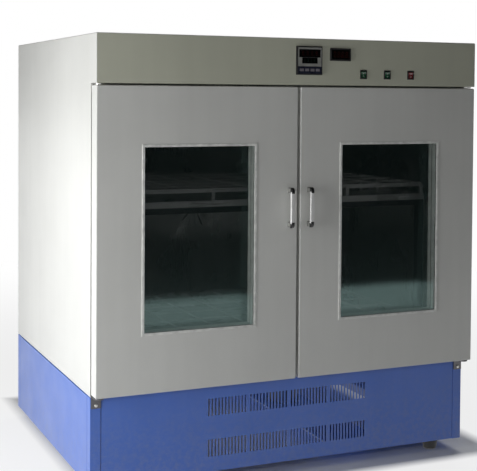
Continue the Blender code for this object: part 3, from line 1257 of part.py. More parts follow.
def build_heater():
    """Tubular heating element: a hairpin whose two ends turn back to the chamber's back wall."""
    y = CHAMBER_BACK - HEATER_FROM_BACK
    end_y = CHAMBER_BACK - SEAT
    left, right = -HEATER_HALF_LENGTH, HEATER_HALF_LENGTH
    bend = HEATER_END_BEND
    corner = bend * (1 - math.sqrt(0.5))
    upper, lower = HEATER_Z + HEATER_BEND, HEATER_Z - HEATER_BEND
    points = [(left, end_y, upper), (left, y + bend, upper), (left + corner, y + corner, upper),
              (left + bend, y, upper)]
    points += [(right + across, y, HEATER_Z + up) for across, up in
               arc((0, 0), HEATER_BEND, math.pi / 2, -math.pi / 2, 8)]
    points += [(left + bend, y, lower), (left + corner, y + corner, lower), (left, y + bend, lower),
               (left, end_y, lower)]
    curve = bpy.data.curves.new("heater_element", "CURVE")
    curve.dimensions = "3D"
    curve.bevel_depth = HEATER_RADIUS
    curve.bevel_resolution = 2
    curve.use_fill_caps = True
    spline = curve.splines.new("POLY")
    spline.points.add(len(points) - 1)
    for point, place in zip(spline.points, points):
        point.co = (*place, 1)
    return add_object("heater_element", curve, STAINLESS)


# Power inlet
def build_power_inlet():
    half_width, half_height = INLET_WIDTH / 2, INLET_HEIGHT / 2
    back = CABINET_BACK
    inlet = block("power_inlet", (INLET_X - half_width, back + SEAT, INLET_Z - half_height),
                  (INLET_X + half_width, back + INLET_REACH, INLET_Z + half_height), BLACK_PLASTIC)
    body_width, body_height = INLET_BODY_WIDTH / 2, INLET_BODY_HEIGHT / 2
    fuse(inlet, block("inlet_body", (INLET_X - body_width, back - INLET_BODY_DEPTH, INLET_Z - body_height),
                      (INLET_X + body_width, back + INLET_REACH / 2, INLET_Z + body_height)))
    well_width, well_height = INLET_WELL_WIDTH / 2, INLET_WELL_HEIGHT / 2
    floor = back + INLET_REACH - INLET_WELL_DEPTH
    cut(inlet, block("inlet_well", (INLET_X - well_width, floor, INLET_Z - well_height),
                     (INLET_X + well_width, back + 2 * INLET_REACH, INLET_Z + well_height)))
    thick, length, wide = INLET_PIN
    for step in (-1, 0, 1):
        x = INLET_X + step * INLET_PIN_PITCH
        z = INLET_Z + (INLET_PIN_RISE if step == 0 else -INLET_PIN_RISE)
        fuse(inlet, block("inlet_pin_%d" % (step + 1), (x - wide / 2, floor - wide, z - thick / 2),
                          (x + wide / 2, floor + length, z + thick / 2)))
    return inlet


def main():
    build_outer_case()
    build_back_panel()
    build_header_fascia()
    build_chamber_liner()
    build_insulation()
    for side, word in ((-1, "left"), (1, "right")):
        build_door(side, word)
        build_hinge_bracket(side, word, True)
        build_hinge_bracket(side, word, False)
    build_controller()
    build_controller_keys()
    build_display()
    rockers = (("power", GREEN_PLASTIC), ("shaker", GREEN_PLASTIC), ("heater", RED_PLASTIC))
    for x, (word, finish) in zip(SWITCH_X, rockers):
        build_switch(x, word, finish)
    build_base_frame()
    build_feet()
    build_base_panels()
    build_drive_deck()
    build_main_crank()
    build_idler_cranks()
    build_motor_pulley()
    build_drive_motor()
    build_drive_belt()
    build_platform()
    build_air_duct_panel()
    build_fan()
    build_heater()
    build_power_inlet()


main()
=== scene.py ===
"""Finishes and fine parts of a floor-standing shaking incubator with two glazed doors.

Run it as a Blender script. Every group of pieces is an operator in the 3D view's sidebar.
"""

import json
import math

import bmesh
import bpy
from bpy.props import FloatProperty, FloatVectorProperty, IntProperty, PointerProperty
from mathutils import Matrix, Vector


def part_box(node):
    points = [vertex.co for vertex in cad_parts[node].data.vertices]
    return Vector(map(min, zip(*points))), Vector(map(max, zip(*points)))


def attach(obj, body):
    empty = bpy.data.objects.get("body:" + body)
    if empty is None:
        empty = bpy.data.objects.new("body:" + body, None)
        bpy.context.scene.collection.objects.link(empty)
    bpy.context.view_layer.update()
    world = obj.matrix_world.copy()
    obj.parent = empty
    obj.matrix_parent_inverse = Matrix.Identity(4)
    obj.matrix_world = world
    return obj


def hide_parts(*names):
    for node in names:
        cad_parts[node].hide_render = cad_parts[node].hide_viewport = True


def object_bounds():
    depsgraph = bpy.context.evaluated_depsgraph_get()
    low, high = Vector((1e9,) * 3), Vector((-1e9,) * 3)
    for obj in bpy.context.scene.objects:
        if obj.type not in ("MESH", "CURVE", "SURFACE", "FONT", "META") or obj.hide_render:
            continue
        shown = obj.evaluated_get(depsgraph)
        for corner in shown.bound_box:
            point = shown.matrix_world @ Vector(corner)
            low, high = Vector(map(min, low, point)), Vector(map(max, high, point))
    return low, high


bl_info = {
    "name": "Shaking incubator finish",
    "version": (1, 0, 0),
    "blender": (4, 5, 0),
    "location": "View3D > Sidebar > Incubator",
    "description": "Finishes, trims, springs, controls and screws of a two-door shaking incubator",
    "category": "Object",
}

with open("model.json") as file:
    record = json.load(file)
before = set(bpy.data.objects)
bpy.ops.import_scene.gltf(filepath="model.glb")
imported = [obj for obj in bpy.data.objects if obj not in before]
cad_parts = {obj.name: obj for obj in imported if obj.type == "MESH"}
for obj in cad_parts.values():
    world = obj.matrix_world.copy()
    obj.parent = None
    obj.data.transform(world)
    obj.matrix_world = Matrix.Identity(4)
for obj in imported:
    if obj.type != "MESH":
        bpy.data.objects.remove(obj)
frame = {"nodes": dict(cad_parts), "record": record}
MODEL_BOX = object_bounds()
BODY_OF = {node: body for body, nodes in frame["record"]["behaviour"]["bodies"].items() for node in nodes}
SIDES = ("left", "right")
FORWARD = Vector((0, -1, 0))
BACKWARD = Vector((0, 1, 0))
WHITE = (1, 1, 1, 1)

# Places read from the model
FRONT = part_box("header_fascia")[0].y
PANE_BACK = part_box("outer_glass_right")[1].y
LINING_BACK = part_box("door_liner_right")[1].y

# Small gap or overlap between neighbouring pieces, in metres
TOUCH = 0.0003
# Faces that meet at less than this angle, in degrees, are shaded smooth
SMOOTH_BELOW = 50.0
# The header's colour against the doors': darker as painted shade, and yellower as its own tint
HEADER_PAINTED_SHADE = (0.80, 0.81, 0.69)
# Figures in each screen
FIGURES = 4


# Settings
COLOUR = {"subtype": "COLOR", "size": 3, "min": 0, "max": 1}


class FinishSettings(bpy.types.PropertyGroup):
    """Colours of the incubator's finishes."""

    cabinet: FloatVectorProperty(
        name="Cabinet paint", description="Off-white powder coat of the cabinet and its doors",
        **COLOUR, default=(0.76, 0.765, 0.735))
    base: FloatVectorProperty(
        name="Base paint", description="Blue powder coat of the machine base",
        **COLOUR, default=(0.078, 0.185, 0.64))
    stainless: FloatVectorProperty(
        name="Stainless steel", description="Brushed sheet of the chamber, trays and door linings",
        **COLOUR, default=(0.56, 0.57, 0.56))
    # Near black with a faint green: the panes' own tint, darkened as painted shade of the unlit chamber
    # behind them
    glass_tint_and_shade: FloatVectorProperty(
        name="Glass tint", description="Faint green of the window panes",
        **COLOUR, default=(0.006, 0.013, 0.012))
    peel: FloatProperty(
        name="Orange peel", description="Size of the fine waves in the powder coat",
        unit="LENGTH", min=0.0002, max=0.01, default=0.0022)


class TrimSettings(bpy.types.PropertyGroup):
    """Sizes of the window trims, gaskets and handles."""

    trim_width: FloatProperty(
        name="Window trim width", description="Width of the bead round each window",
        unit="LENGTH", min=0.004, max=0.03, default=0.0088)
    trim_proud: FloatProperty(
        name="Window trim height", description="How far the bead stands out of the door",
        unit="LENGTH", min=0.001, max=0.01, default=0.0022)
    rib: FloatProperty(
        name="Gasket rib", description="Width of one fold of the door gasket",
        unit="LENGTH", min=0.001, max=0.01, default=0.0032)
    bar_width: FloatProperty(
        name="Handle bar width", description="Width of the bright bar between the handle's ends",
        unit="LENGTH", min=0.004, max=0.03, default=0.0138)
    bar_depth: FloatProperty(
        name="Handle bar depth", description="Depth of the bright bar between the handle's ends",
        unit="LENGTH", min=0.004, max=0.03, default=0.0105)
    end_depth: FloatProperty(
        name="Handle end depth", description="Depth of one black end of a handle, in front of its leg",
        unit="LENGTH", min=0.01, max=0.03, default=0.0135)
    end_height: FloatProperty(
        name="Handle end height", description="Height of one black end of a handle",
        unit="LENGTH", min=0.01, max=0.04, default=0.0195)


class SpringSettings(bpy.types.PropertyGroup):
    """Sizes of the spring racks on the two trays."""

    wire: FloatProperty(
        name="Wire radius", description="Radius of the spring wire", unit="LENGTH",
        min=0.0002, max=0.002, default=0.0009)
    coil: FloatProperty(
        name="Coil radius", description="Outer radius of a spring", unit="LENGTH",
        min=0.001, max=0.006, default=0.00325)
    pitch: FloatProperty(
        name="Coil pitch", description="Distance from one turn to the next", unit="LENGTH",
        min=0.001, max=0.02, default=0.0031)
    short_springs: IntProperty(
        name="Short springs", description="Springs that run from front to back", min=1, max=30, default=8)
    long_springs: IntProperty(
        name="Long springs", description="Springs that run from side to side", min=1, max=20, default=5)


class StageSettings(bpy.types.PropertyGroup):
    """Lights, floor and camera."""

    key: FloatProperty(
        name="Key light", description="Power of the large soft light on the left", unit="POWER",
        min=0, max=5000, default=37)
    back: FloatProperty(
        name="Back light", description="Power of the soft light behind on the right", unit="POWER",
        min=0, max=5000, default=65)
    front: FloatProperty(
        name="Front light", description="Power of the small light near the camera", unit="POWER",
        min=0, max=500, default=13)
    ambient: FloatProperty(
        name="Room light", description="Strength of the even light from all round",
        min=0, max=2, default=0.03)
    floor: FloatVectorProperty(
        name="Floor", description="Pale floor", **COLOUR, default=(0.80, 0.81, 0.82))
    focal: FloatProperty(
        name="Focal length", description="Camera lens in millimetres", min=20, max=300, default=84.6)


# Shader nodes
class Nodes:
    """Adds shader nodes to one tree and joins their sockets."""

    def __init__(self, tree):
        self.tree = tree

    def put(self, socket, value):
        if isinstance(value, bpy.types.NodeSocket):
            self.tree.links.new(value, socket)
        else:
            socket.default_value = value

    def add(self, kind, inputs=None, **settings):
        node = self.tree.nodes.new(kind)
        for name, value in settings.items():
            setattr(node, name, value)
        for name, value in (inputs or {}).items():
            self.put(node.inputs[name], value)
        return node

    def math(self, operation, first, second=0.0):
        node = self.add("ShaderNodeMath", operation=operation)
        self.put(node.inputs[0], first)
        self.put(node.inputs[1], second)
        return node.outputs[0]

    def times(self, first, second):
        return self.math("MULTIPLY", first, second)

    def remap(self, value, start, end, low=0.0, high=1.0, kind="LINEAR"):
        inputs = {"Value": value, "From Min": start, "From Max": end, "To Min": low, "To Max": high}
        return self.add("ShaderNodeMapRange", inputs, interpolation_type=kind).outputs[0]

    def mix(self, share, first, second, kind="MIX"):
        node = self.add("ShaderNodeMix", data_type="RGBA", blend_type=kind)
        for index, value in ((0, share), (6, first), (7, second)):
            self.put(node.inputs[index], value)
        return node.outputs[2]

    def shaded(self, colour, tone):
        """A colour made darker or lighter by a pattern round 1."""
        grey = self.add("ShaderNodeCombineColor", {"Red": tone, "Green": tone, "Blue": tone}).outputs[0]
        return self.mix(1.0, colour, grey, "MULTIPLY")

    def noise(self, place, scale, detail=2.0, roughness=0.5):
        inputs = {"Vector": place, "Scale": scale, "Detail": detail, "Roughness": roughness}
        return self.add("ShaderNodeTexNoise", inputs).outputs[0]

    def grain(self, place, size, detail, roughness=0.5):
        """Noise whose grains are about the given size, in metres."""
        return self.noise(place, self.math("DIVIDE", 1.0, size), detail, roughness)

    def stretched(self, place, scale):
        return self.add("ShaderNodeMapping", {"Vector": place, "Scale": scale}).outputs[0]

    def place(self):
        return self.add("ShaderNodeTexCoord").outputs["Object"]

    def give(self, colour, roughness, height):
        """Joins up the outputs of a group, and returns the group."""
        self.add("NodeGroupOutput", {"Colour": colour, "Roughness": roughness, "Height": height})
        return self.tree


def opaque(colour):
    return (*colour, 1.0)


FINISHES = {}


def new_finish(name):
    """A new material, kept under its name, with its nodes and its Principled shader."""
    finish = FINISHES[name] = bpy.data.materials.new(name)
    finish.use_nodes = True
    return finish, Nodes(finish.node_tree), finish.node_tree.nodes["Principled BSDF"]


def new_group(name, sockets):
    """A shader node group that puts out Colour, Roughness and Height, with its named input sockets."""
    group = bpy.data.node_groups.new(name, "ShaderNodeTree")
    kinds = {float: "NodeSocketFloat", tuple: "NodeSocketColor", Vector: "NodeSocketVector"}
    for label, value in sockets.items():
        socket = group.interface.new_socket(label, in_out="INPUT", socket_type=kinds[type(value)])
        socket.default_value = value
    for label, kind in (("Colour", "NodeSocketColor"), ("Roughness", "NodeSocketFloat"),
                        ("Height", "NodeSocketFloat")):
        group.interface.new_socket(label, in_out="OUTPUT", socket_type=kind)
    nodes = Nodes(group)
    return nodes, nodes.add("NodeGroupInput").outputs, nodes.place()


def make_powder_coat():
    """Orange peel, slow mottling, and dust that settles low down."""
    nodes, given, place = new_group(
        "powder_coat", {"Colour": (0.8, 0.8, 0.8, 1.0), "Peel Size": 0.002, "Gloss": 0.38, "Dust": 0.3})
    waves = nodes.grain(place, given["Peel Size"], 3.0, 0.6)
    mottle = nodes.remap(nodes.noise(place, 2.6, 4.0), 0.3, 0.7, 0.955, 1.03)
    streaks = nodes.stretched(place, (22.0, 22.0, 1.3))
    run_marks = nodes.remap(nodes.noise(streaks, 1.0, 3.0), 0.35, 0.65, 0.985, 1.01)
    varied = nodes.shaded(given["Colour"], nodes.times(mottle, run_marks))
    height = nodes.add("ShaderNodeSeparateXYZ", {"Vector": place}).outputs["Z"]
    low = nodes.remap(height, 0.02, 0.34, 1.0, 0.0)
    specks = nodes.remap(nodes.noise(place, 55.0, 5.0, 0.7), 0.42, 0.68)
    dust = nodes.times(nodes.times(low, specks), given["Dust"])
    colour = nodes.mix(dust, varied, opaque((0.42, 0.40, 0.36)))
    cloud = nodes.remap(nodes.noise(place, 9.0, 3.0), 0.3, 0.7, -0.04, 0.05)
    roughness = nodes.math("ADD", nodes.math("ADD", given["Gloss"], cloud), nodes.times(dust, 0.4))
    return nodes.give(colour, roughness, waves)


def make_brushed_sheet():
    """Long fine scratches along one direction, with soft smears across them."""
    nodes, given, place = new_group(
        "brushed_sheet",
        {"Colour": (0.6, 0.6, 0.6, 1.0), "Stretch": Vector((30.0, 900.0, 900.0)), "Gloss": 0.3})
    scratches = nodes.noise(nodes.stretched(place, given["Stretch"]), 1.0, 4.0, 0.65)
    colour = nodes.shaded(given["Colour"], nodes.remap(scratches, 0.3, 0.7, 0.84, 1.08))
    smear = nodes.remap(nodes.noise(place, 7.0, 4.0, 0.6), 0.35, 0.7, -0.05, 0.10)
    fine = nodes.remap(scratches, 0.3, 0.7, -0.05, 0.05)
    roughness = nodes.math("ADD", nodes.math("ADD", given["Gloss"], smear), fine)
    return nodes.give(colour, roughness, scratches)


def make_moulded_grain():
    """Fine spark-eroded grain of moulded plastic or rubber, with faint handling marks."""
    nodes, given, place = new_group(
        "moulded_grain", {"Colour": (0.1, 0.1, 0.1, 1.0), "Grain Size": 0.0006, "Gloss": 0.5})
    grain = nodes.grain(place, given["Grain Size"], 2.0)
    patches = nodes.noise(place, 38.0, 4.0, 0.6)
    colour = nodes.shaded(given["Colour"], nodes.remap(patches, 0.3, 0.7, 0.85, 1.2))
    roughness = nodes.math("ADD", given["Gloss"], nodes.remap(patches, 0.3, 0.7, -0.06, 0.08))
    return nodes.give(colour, roughness, grain)


def make_cast_metal():
    """Granular metal with darker stains, for castings, zinc plate and machined parts."""
    nodes, given, place = new_group(
        "cast_metal", {"Colour": (0.6, 0.6, 0.6, 1.0), "Grain Size": 0.0012, "Gloss": 0.35, "Stain": 0.3})
    grain = nodes.grain(place, given["Grain Size"], 4.0, 0.6)
    stains = nodes.remap(nodes.noise(place, 24.0, 5.0, 0.65), 0.45, 0.75)
    share = nodes.times(stains, given["Stain"])
    colour = nodes.mix(share, given["Colour"], opaque((0.10, 0.085, 0.07)))
    roughness = nodes.math("ADD", given["Gloss"], nodes.times(share, 0.5))
    return nodes.give(colour, roughness, grain)


def surface(name, group, values, bump, grain, **plain):
    """A material whose Principled shader takes colour, roughness and bump from a node group."""
    _, nodes, shader = new_finish(name)
    source = nodes.add("ShaderNodeGroup", node_tree=group)
    for label, value in values.items():
        source.inputs[label].default_value = value
    relief = nodes.add("ShaderNodeBump", {"Strength": bump, "Distance": grain,
                                          "Height": source.outputs["Height"]})
    nodes.put(shader.inputs["Base Color"], source.outputs["Colour"])
    nodes.put(shader.inputs["Roughness"], source.outputs["Roughness"])
    nodes.put(shader.inputs["Normal"], relief.outputs["Normal"])
    for label, value in plain.items():
        shader.inputs[label.replace("_", " ")].default_value = value


def make_glass(name, tint, alpha, roughness, bend, shine):
    """A clear pane: thin see-through tint with its own gloss."""
    _, nodes, shader = new_finish(name)
    smears = nodes.noise(nodes.place(), 6.0, 5.0, 0.65)
    nodes.put(shader.inputs["Base Color"], opaque(tint))
    nodes.put(shader.inputs["Alpha"], nodes.remap(smears, 0.35, 0.75, alpha, alpha + 0.02))
    nodes.put(shader.inputs["Roughness"], nodes.remap(smears, 0.3, 0.7, roughness, roughness + 0.04))
    shader.inputs["IOR"].default_value = bend
    shader.inputs["Specular Tint"].default_value = opaque(shine)


def make_finishes(colours):
    coat, sheet = make_powder_coat(), make_brushed_sheet()
    grain, cast = make_moulded_grain(), make_cast_metal()
    peel = colours.peel
    # The header is the cabinet paint with painted shade and a yellow tint
    header = [value * shade for value, shade in zip(colours.cabinet, HEADER_PAINTED_SHADE)]

    def paint(name, colour, gloss, dust):
        values = {"Colour": opaque(colour), "Peel Size": peel, "Gloss": gloss, "Dust": dust}
        surface(name, coat, values, 0.14, 0.0002, Coat_Weight=0.12, Coat_Roughness=0.2)

    def brushed(name, stretch, gloss, metallic=1.0):
        values = {"Colour": opaque(colours.stainless), "Stretch": Vector(stretch), "Gloss": gloss}
        surface(name, sheet, values, 0.10, 0.00008, Metallic=metallic)

    def plastic(name, colour, size, gloss, bump=0.12, **plain):
        values = {"Colour": opaque(colour), "Grain Size": size, "Gloss": gloss}
        surface(name, grain, values, bump, 0.0001, **plain)

    def metal(name, colour, size, gloss, stain, metallic=1.0):
        values = {"Colour": opaque(colour), "Grain Size": size, "Gloss": gloss, "Stain": stain}
        surface(name, cast, values, 0.10, 0.0001, Metallic=metallic)

    paint("cabinet_paint", colours.cabinet, 0.36, 0.10)
    paint("header_paint_shaded", header, 0.36, 0.0)
    paint("base_paint", colours.base, 0.34, 0.22)
    brushed("chamber_sheet", (700.0, 700.0, 18.0), 0.30)
    brushed("tray_sheet", (16.0, 600.0, 600.0), 0.30, 0.45)
    brushed("lining_sheet", (500.0, 500.0, 16.0), 0.28)
    metal("spring_steel", (0.92, 0.92, 0.91), 0.0015, 0.24, 0.0, 0.3)
    metal("bright_bar", (0.92, 0.92, 0.91), 0.004, 0.18, 0.0, 0.12)
    metal("zinc_plate", (0.66, 0.66, 0.63), 0.0018, 0.34, 0.12)
    metal("turned_steel", (0.62, 0.62, 0.63), 0.0009, 0.24, 0.10)
    metal("cast_aluminium", (0.66, 0.67, 0.68), 0.0011, 0.38, 0.12)
    metal("motor_enamel", (0.060, 0.066, 0.072), 0.0016, 0.42, 0.15, 0.0)
    metal("dark_plate", (0.14, 0.14, 0.15), 0.0016, 0.42, 0.30)
    # Black platform frame: painted shade, so the frame sinks into the dark of the chamber
    metal("shade_black_frame", (0.030, 0.031, 0.033), 0.0012, 0.40, 0.10, 0.6)
    plastic("black_plastic", (0.006, 0.006, 0.0065), 0.0007, 0.50)
    plastic("handle_plastic", (0.010, 0.010, 0.011), 0.0009, 0.34)
    plastic("grey_face", (0.30, 0.305, 0.285), 0.0006, 0.40)
    plastic("key_plastic", (0.20, 0.185, 0.21), 0.0006, 0.45)
    plastic("strip_film", (0.012, 0.015, 0.032), 0.0005, 0.30)
    plastic("mark_white", (0.72, 0.72, 0.70), 0.0005, 0.42)
    plastic("trim_bead", (0.80, 0.81, 0.78), 0.0009, 0.34)
    plastic("spacer_grey", (0.40, 0.44, 0.41), 0.0009, 0.45)
    plastic("green_rocker", (0.006, 0.075, 0.030), 0.0012, 0.16, 0.04, Coat_Weight=0.5)
    plastic("red_rocker", (0.16, 0.008, 0.010), 0.0012, 0.16, 0.04, Coat_Weight=0.5)
    plastic("screen_black", (0.004, 0.005, 0.005), 0.0012, 0.20, 0.02)
    plastic("digit_red", (0.16, 0.010, 0.008), 0.0012, 0.35, 0.02)
    plastic("digit_green", (0.012, 0.085, 0.050), 0.0012, 0.35, 0.02)
    plastic("black_rubber", (0.011, 0.011, 0.011), 0.0008, 0.66, 0.2)
    plastic("belt_rubber", (0.016, 0.016, 0.017), 0.0014, 0.60, 0.2)
    # Nearly black gasket rubber: painted shade of the gap between the doors
    plastic("gasket_rubber", (0.035, 0.036, 0.037), 0.0008, 0.55, 0.15)
    plastic("mineral_wool", (0.58, 0.50, 0.27), 0.0035, 0.92, 0.7)
    # The window panes' dark smoke is partly their own green tint and partly painted shade of the chamber
    make_glass("window_glass", colours.glass_tint_and_shade, 0.15, 0.01, 2.95, (0.66, 1.0, 0.96))
    make_glass("screen_glass", (0.004, 0.004, 0.004), 0.42, 0.04, 1.35, (1, 1, 1))


# Modelling helpers
def only(piece=None):
    """Back to object mode with nothing, or just one piece, selected."""
    if bpy.context.object and bpy.context.object.mode != "OBJECT":
        bpy.ops.object.mode_set(mode="OBJECT")
    bpy.ops.object.select_all(action="DESELECT")
    if piece:
        piece.select_set(True)
        bpy.context.view_layer.objects.active = piece


def edit(piece, kind, test):
    """Opens a piece in edit mode with just the faces, edges or corners selected that pass a test."""
    only(piece)
    bpy.ops.object.mode_set(mode="EDIT")
    bpy.ops.mesh.select_mode(type=kind)
    bpy.ops.mesh.select_all(action="DESELECT")
    mesh = bmesh.from_edit_mesh(piece.data)
    elements = {"FACE": mesh.faces, "EDGE": mesh.edges, "VERT": mesh.verts}[kind]
    for element in elements:
        if test(element):
            element.select_set(True)
    bmesh.update_edit_mesh(piece.data)


def done():
    bpy.ops.object.mode_set(mode="OBJECT")


def named(name):
    piece = bpy.context.object
    piece.name = name
    piece.data.name = name
    return piece


def settle(piece):
    """Moves a piece's place into its mesh, so that the object lies at the origin."""
    only(piece)
    bpy.ops.object.transform_apply(location=True, rotation=True, scale=True)
    return piece


def add(name, kind, **settings):
    """A new primitive, the only piece selected, with its place in its mesh."""
    only()
    getattr(bpy.ops.mesh, "primitive_%s_add" % kind)(**settings)
    return settle(named(name))


def add_block(name, low, high):
    low, high = Vector(low), Vector(high)
    return add(name, "cube", size=1, location=(low + high) / 2, scale=high - low)


def discard(piece):
    bpy.data.objects.remove(piece, do_unlink=True)


def modify(piece, kind, **settings):
    """Adds one modifier and applies it."""
    only(piece)
    step = piece.modifiers.new(kind.lower(), kind)
    for name, value in settings.items():
        setattr(step, name, value)
    bpy.ops.object.modifier_apply(modifier=step.name)


def carve(piece, cutter):
    modify(piece, "BOOLEAN", operation="DIFFERENCE", solver="EXACT", object=cutter)
    discard(cutter)


def soften(piece, width, segments=3, angle=30.0):
    """Rounds the edges that turn by more than an angle, and shades the flat faces flat."""
    modify(piece, "BEVEL", width=width, segments=segments, limit_method="ANGLE",
           angle_limit=math.radians(angle), miter_outer="MITER_ARC")
    only(piece)
    bpy.ops.object.shade_smooth_by_angle(angle=math.radians(SMOOTH_BELOW))
    modify(piece, "WEIGHTED_NORMAL", keep_sharp=True, weight=100)


def join(name, pieces):
    only(pieces[0])
    for piece in pieces:
        piece.select_set(True)
    bpy.ops.object.join()
    return named(name)


def copy_of(piece, matrix):
    twin = piece.copy()
    twin.data = piece.data.copy()
    bpy.context.collection.objects.link(twin)
    twin.data.transform(matrix)
    return twin


def give_finish(piece, finish):
    piece.data.materials.clear()
    piece.data.materials.append(FINISHES[finish])


def border(width):
    """The step across a border in X and Z, from a low corner inwards."""
    return Vector((width, 0, width))


def mount(piece, body, finish, slot, *replaced):
    """Gives a piece its finish and makes it move with its body."""
    only()
    give_finish(piece, finish)
    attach(piece, body)
    if replaced:
        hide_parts(*replaced)
    return piece


def refine(node, finish, slot, width, segments=2, angle=30.0, merge_flats=True, smooth=SMOOTH_BELOW):
    """A welded copy of a model node with small rounded edges, which then stands for the node.

    Triangles on one flat are merged first, except on pieces whose openings make that fail.
    """
    weld, flat = 0.000005, 0.4
    source = frame["nodes"][node]
    piece = bpy.data.objects.new(node + "_finished", source.data.copy())
    bpy.context.collection.objects.link(piece)
    only(piece)
    bpy.ops.object.mode_set(mode="EDIT")
    bpy.ops.mesh.select_all(action="SELECT")
    bpy.ops.mesh.remove_doubles(threshold=weld)
    if merge_flats:
        bpy.ops.mesh.dissolve_limited(angle_limit=math.radians(flat))
    done()
    if width:
        soften(piece, width, segments, angle)
    else:
        bpy.ops.object.shade_smooth_by_angle(angle=math.radians(smooth))
    return mount(piece, BODY_OF[node], finish, slot, node)


class INCUBATOR_OT_stage(bpy.types.Operator):
    """Pale floor, soft lights and the camera"""

    bl_idname = "incubator.stage"
    bl_label = "Stage"
    bl_options = {"REGISTER", "UNDO"}

    def execute(self, context):
        settings = context.scene.incubator_stage
        self.make_floor(settings)
        self.make_world(context, settings)
        self.make_lights(settings)
        self.make_camera(context, settings)
        return {"FINISHED"}

    def make_floor(self, settings):
        """The floor fades to the white of the background and is dark under the base.

        Its near part glows white to glossy rays only: a painted reflection, which the panes show as a bright
        band low in each window.
        """
        floor = add("floor", "circle", vertices=96, radius=60, fill_type="NGON", location=(0, 0, 0))
        finish, nodes, shader = new_finish("floor_finish")
        shader.inputs["Roughness"].default_value = 0.75
        place = nodes.place()
        patches = nodes.remap(nodes.noise(place, 1.4, 4.0), 0.3, 0.7)
        darker = opaque([value * 0.975 for value in settings.floor])
        nodes.put(shader.inputs["Base Color"], nodes.mix(patches, opaque(settings.floor), darker))
        white = nodes.add("ShaderNodeEmission", {"Color": WHITE, "Strength": 1.0}).outputs[0]
        axes = nodes.add("ShaderNodeSeparateXYZ", {"Vector": place}).outputs
        seen = nodes.add("ShaderNodeLightPath").outputs
        pale_share = nodes.times(self.far_share(nodes, place), self.outside_share(nodes, axes))
        in_view = nodes.times(pale_share, seen["Is Camera Ray"])
        # Painted reflection: the floor near the camera glows white to glossy rays, for the panes to mirror
        mirror_from, mirror_to = -3.88, -3.62
        near = nodes.remap(axes["Y"], mirror_from, mirror_to, kind="SMOOTHSTEP")
        mirrored = nodes.times(near, seen["Is Glossy Ray"])
        share = nodes.math("MAXIMUM", in_view, mirrored)
        blend = nodes.add("ShaderNodeMixShader", {0: share, 1: shader.outputs[0], 2: white})
        output = finish.node_tree.nodes["Material Output"]
        nodes.put(output.inputs["Surface"], blend.outputs[0])
        floor.data.materials.append(finish)

    def far_share(self, nodes, place):
        """The floor is whitest far from the cabinet."""
        fade_from, fade_to, least = 1.1, 4.5, 0.80
        away = nodes.add("ShaderNodeVectorMath", {"Vector": place}, operation="LENGTH").outputs["Value"]
        fade = nodes.remap(away, fade_from, fade_to, kind="SMOOTHSTEP")
        return nodes.remap(fade, 0.0, 1.0, least, 1.0)

    def outside_share(self, nodes, axes):
        """0 in the shade under the base, which reaches a little beside and behind it, and 1 outside."""
        half, beside, behind = MODEL_BOX[1], 0.07, 0.14
        sideways = nodes.math("DIVIDE", nodes.math("SUBTRACT", axes["X"], beside), half.x + beside)
        forward = nodes.math("DIVIDE", nodes.math("SUBTRACT", axes["Y"], behind), half.y + behind)
        reach = nodes.math("MAXIMUM", nodes.math("ABSOLUTE", sideways), nodes.math("ABSOLUTE", forward))
        shade_ends, light_starts = 0.93, 1.02
        return nodes.remap(reach, shade_ends, light_starts)

    def make_world(self, context, settings):
        """Even room light, seen as plain white, with a dark room for the panes to mirror."""
        world = bpy.data.worlds.new("studio")
        context.scene.world = world
        world.use_nodes = True
        nodes = Nodes(world.node_tree)
        background = world.node_tree.nodes["Background"]
        seen = nodes.add("ShaderNodeLightPath").outputs
        nodes.put(background.inputs["Color"], WHITE)
        mirrored = settings.ambient * 0.3
        room = nodes.remap(seen["Is Glossy Ray"], 0.0, 1.0, settings.ambient, mirrored)
        nodes.put(background.inputs["Strength"], nodes.math("MAXIMUM", room, seen["Is Camera Ray"]))

    def make_lights(self, settings):
        centre = (MODEL_BOX[0] + MODEL_BOX[1]) / 2
        for name, place, size, power in (("key_light", (-2.25, -0.70, 0.95), 1.6, settings.key),
                                         ("back_light", (2.8, 2.4, 3.8), 2.6, settings.back),
                                         ("front_light", (-1.3, -3.7, 1.75), 0.3, settings.front)):
            only()
            aim = (centre - Vector(place)).to_track_quat("-Z", "Y").to_euler()
            bpy.ops.object.light_add(type="AREA", location=place, rotation=aim)
            light = bpy.context.object
            light.name = name
            light.data.shape = "DISK"
            light.data.size = size
            light.data.energy = power

    def make_camera(self, context, settings):
        """The photograph's view, fitted to the straight edges of the cabinet."""
        place = Vector((-1.6854, -3.868, 1.2904))
        yaw, pitch, roll = math.radians(23.668), math.radians(-1.802), math.radians(0.401)
        only()
        bpy.ops.object.camera_add(location=place)
        camera = context.object
        camera.name = "camera"
        turn = (Matrix.Rotation(-yaw, 4, "Z") @ Matrix.Rotation(math.pi / 2 + pitch, 4, "X")
                @ Matrix.Rotation(roll, 4, "Z"))
        camera.rotation_euler = turn.to_euler()
        camera.data.lens = settings.focal
        camera.data.sensor_width = 36
        camera.data.shift_y = -0.2212
        camera.data.clip_end = 200
        context.scene.camera = camera
        context.scene.view_settings.view_transform = "Standard"


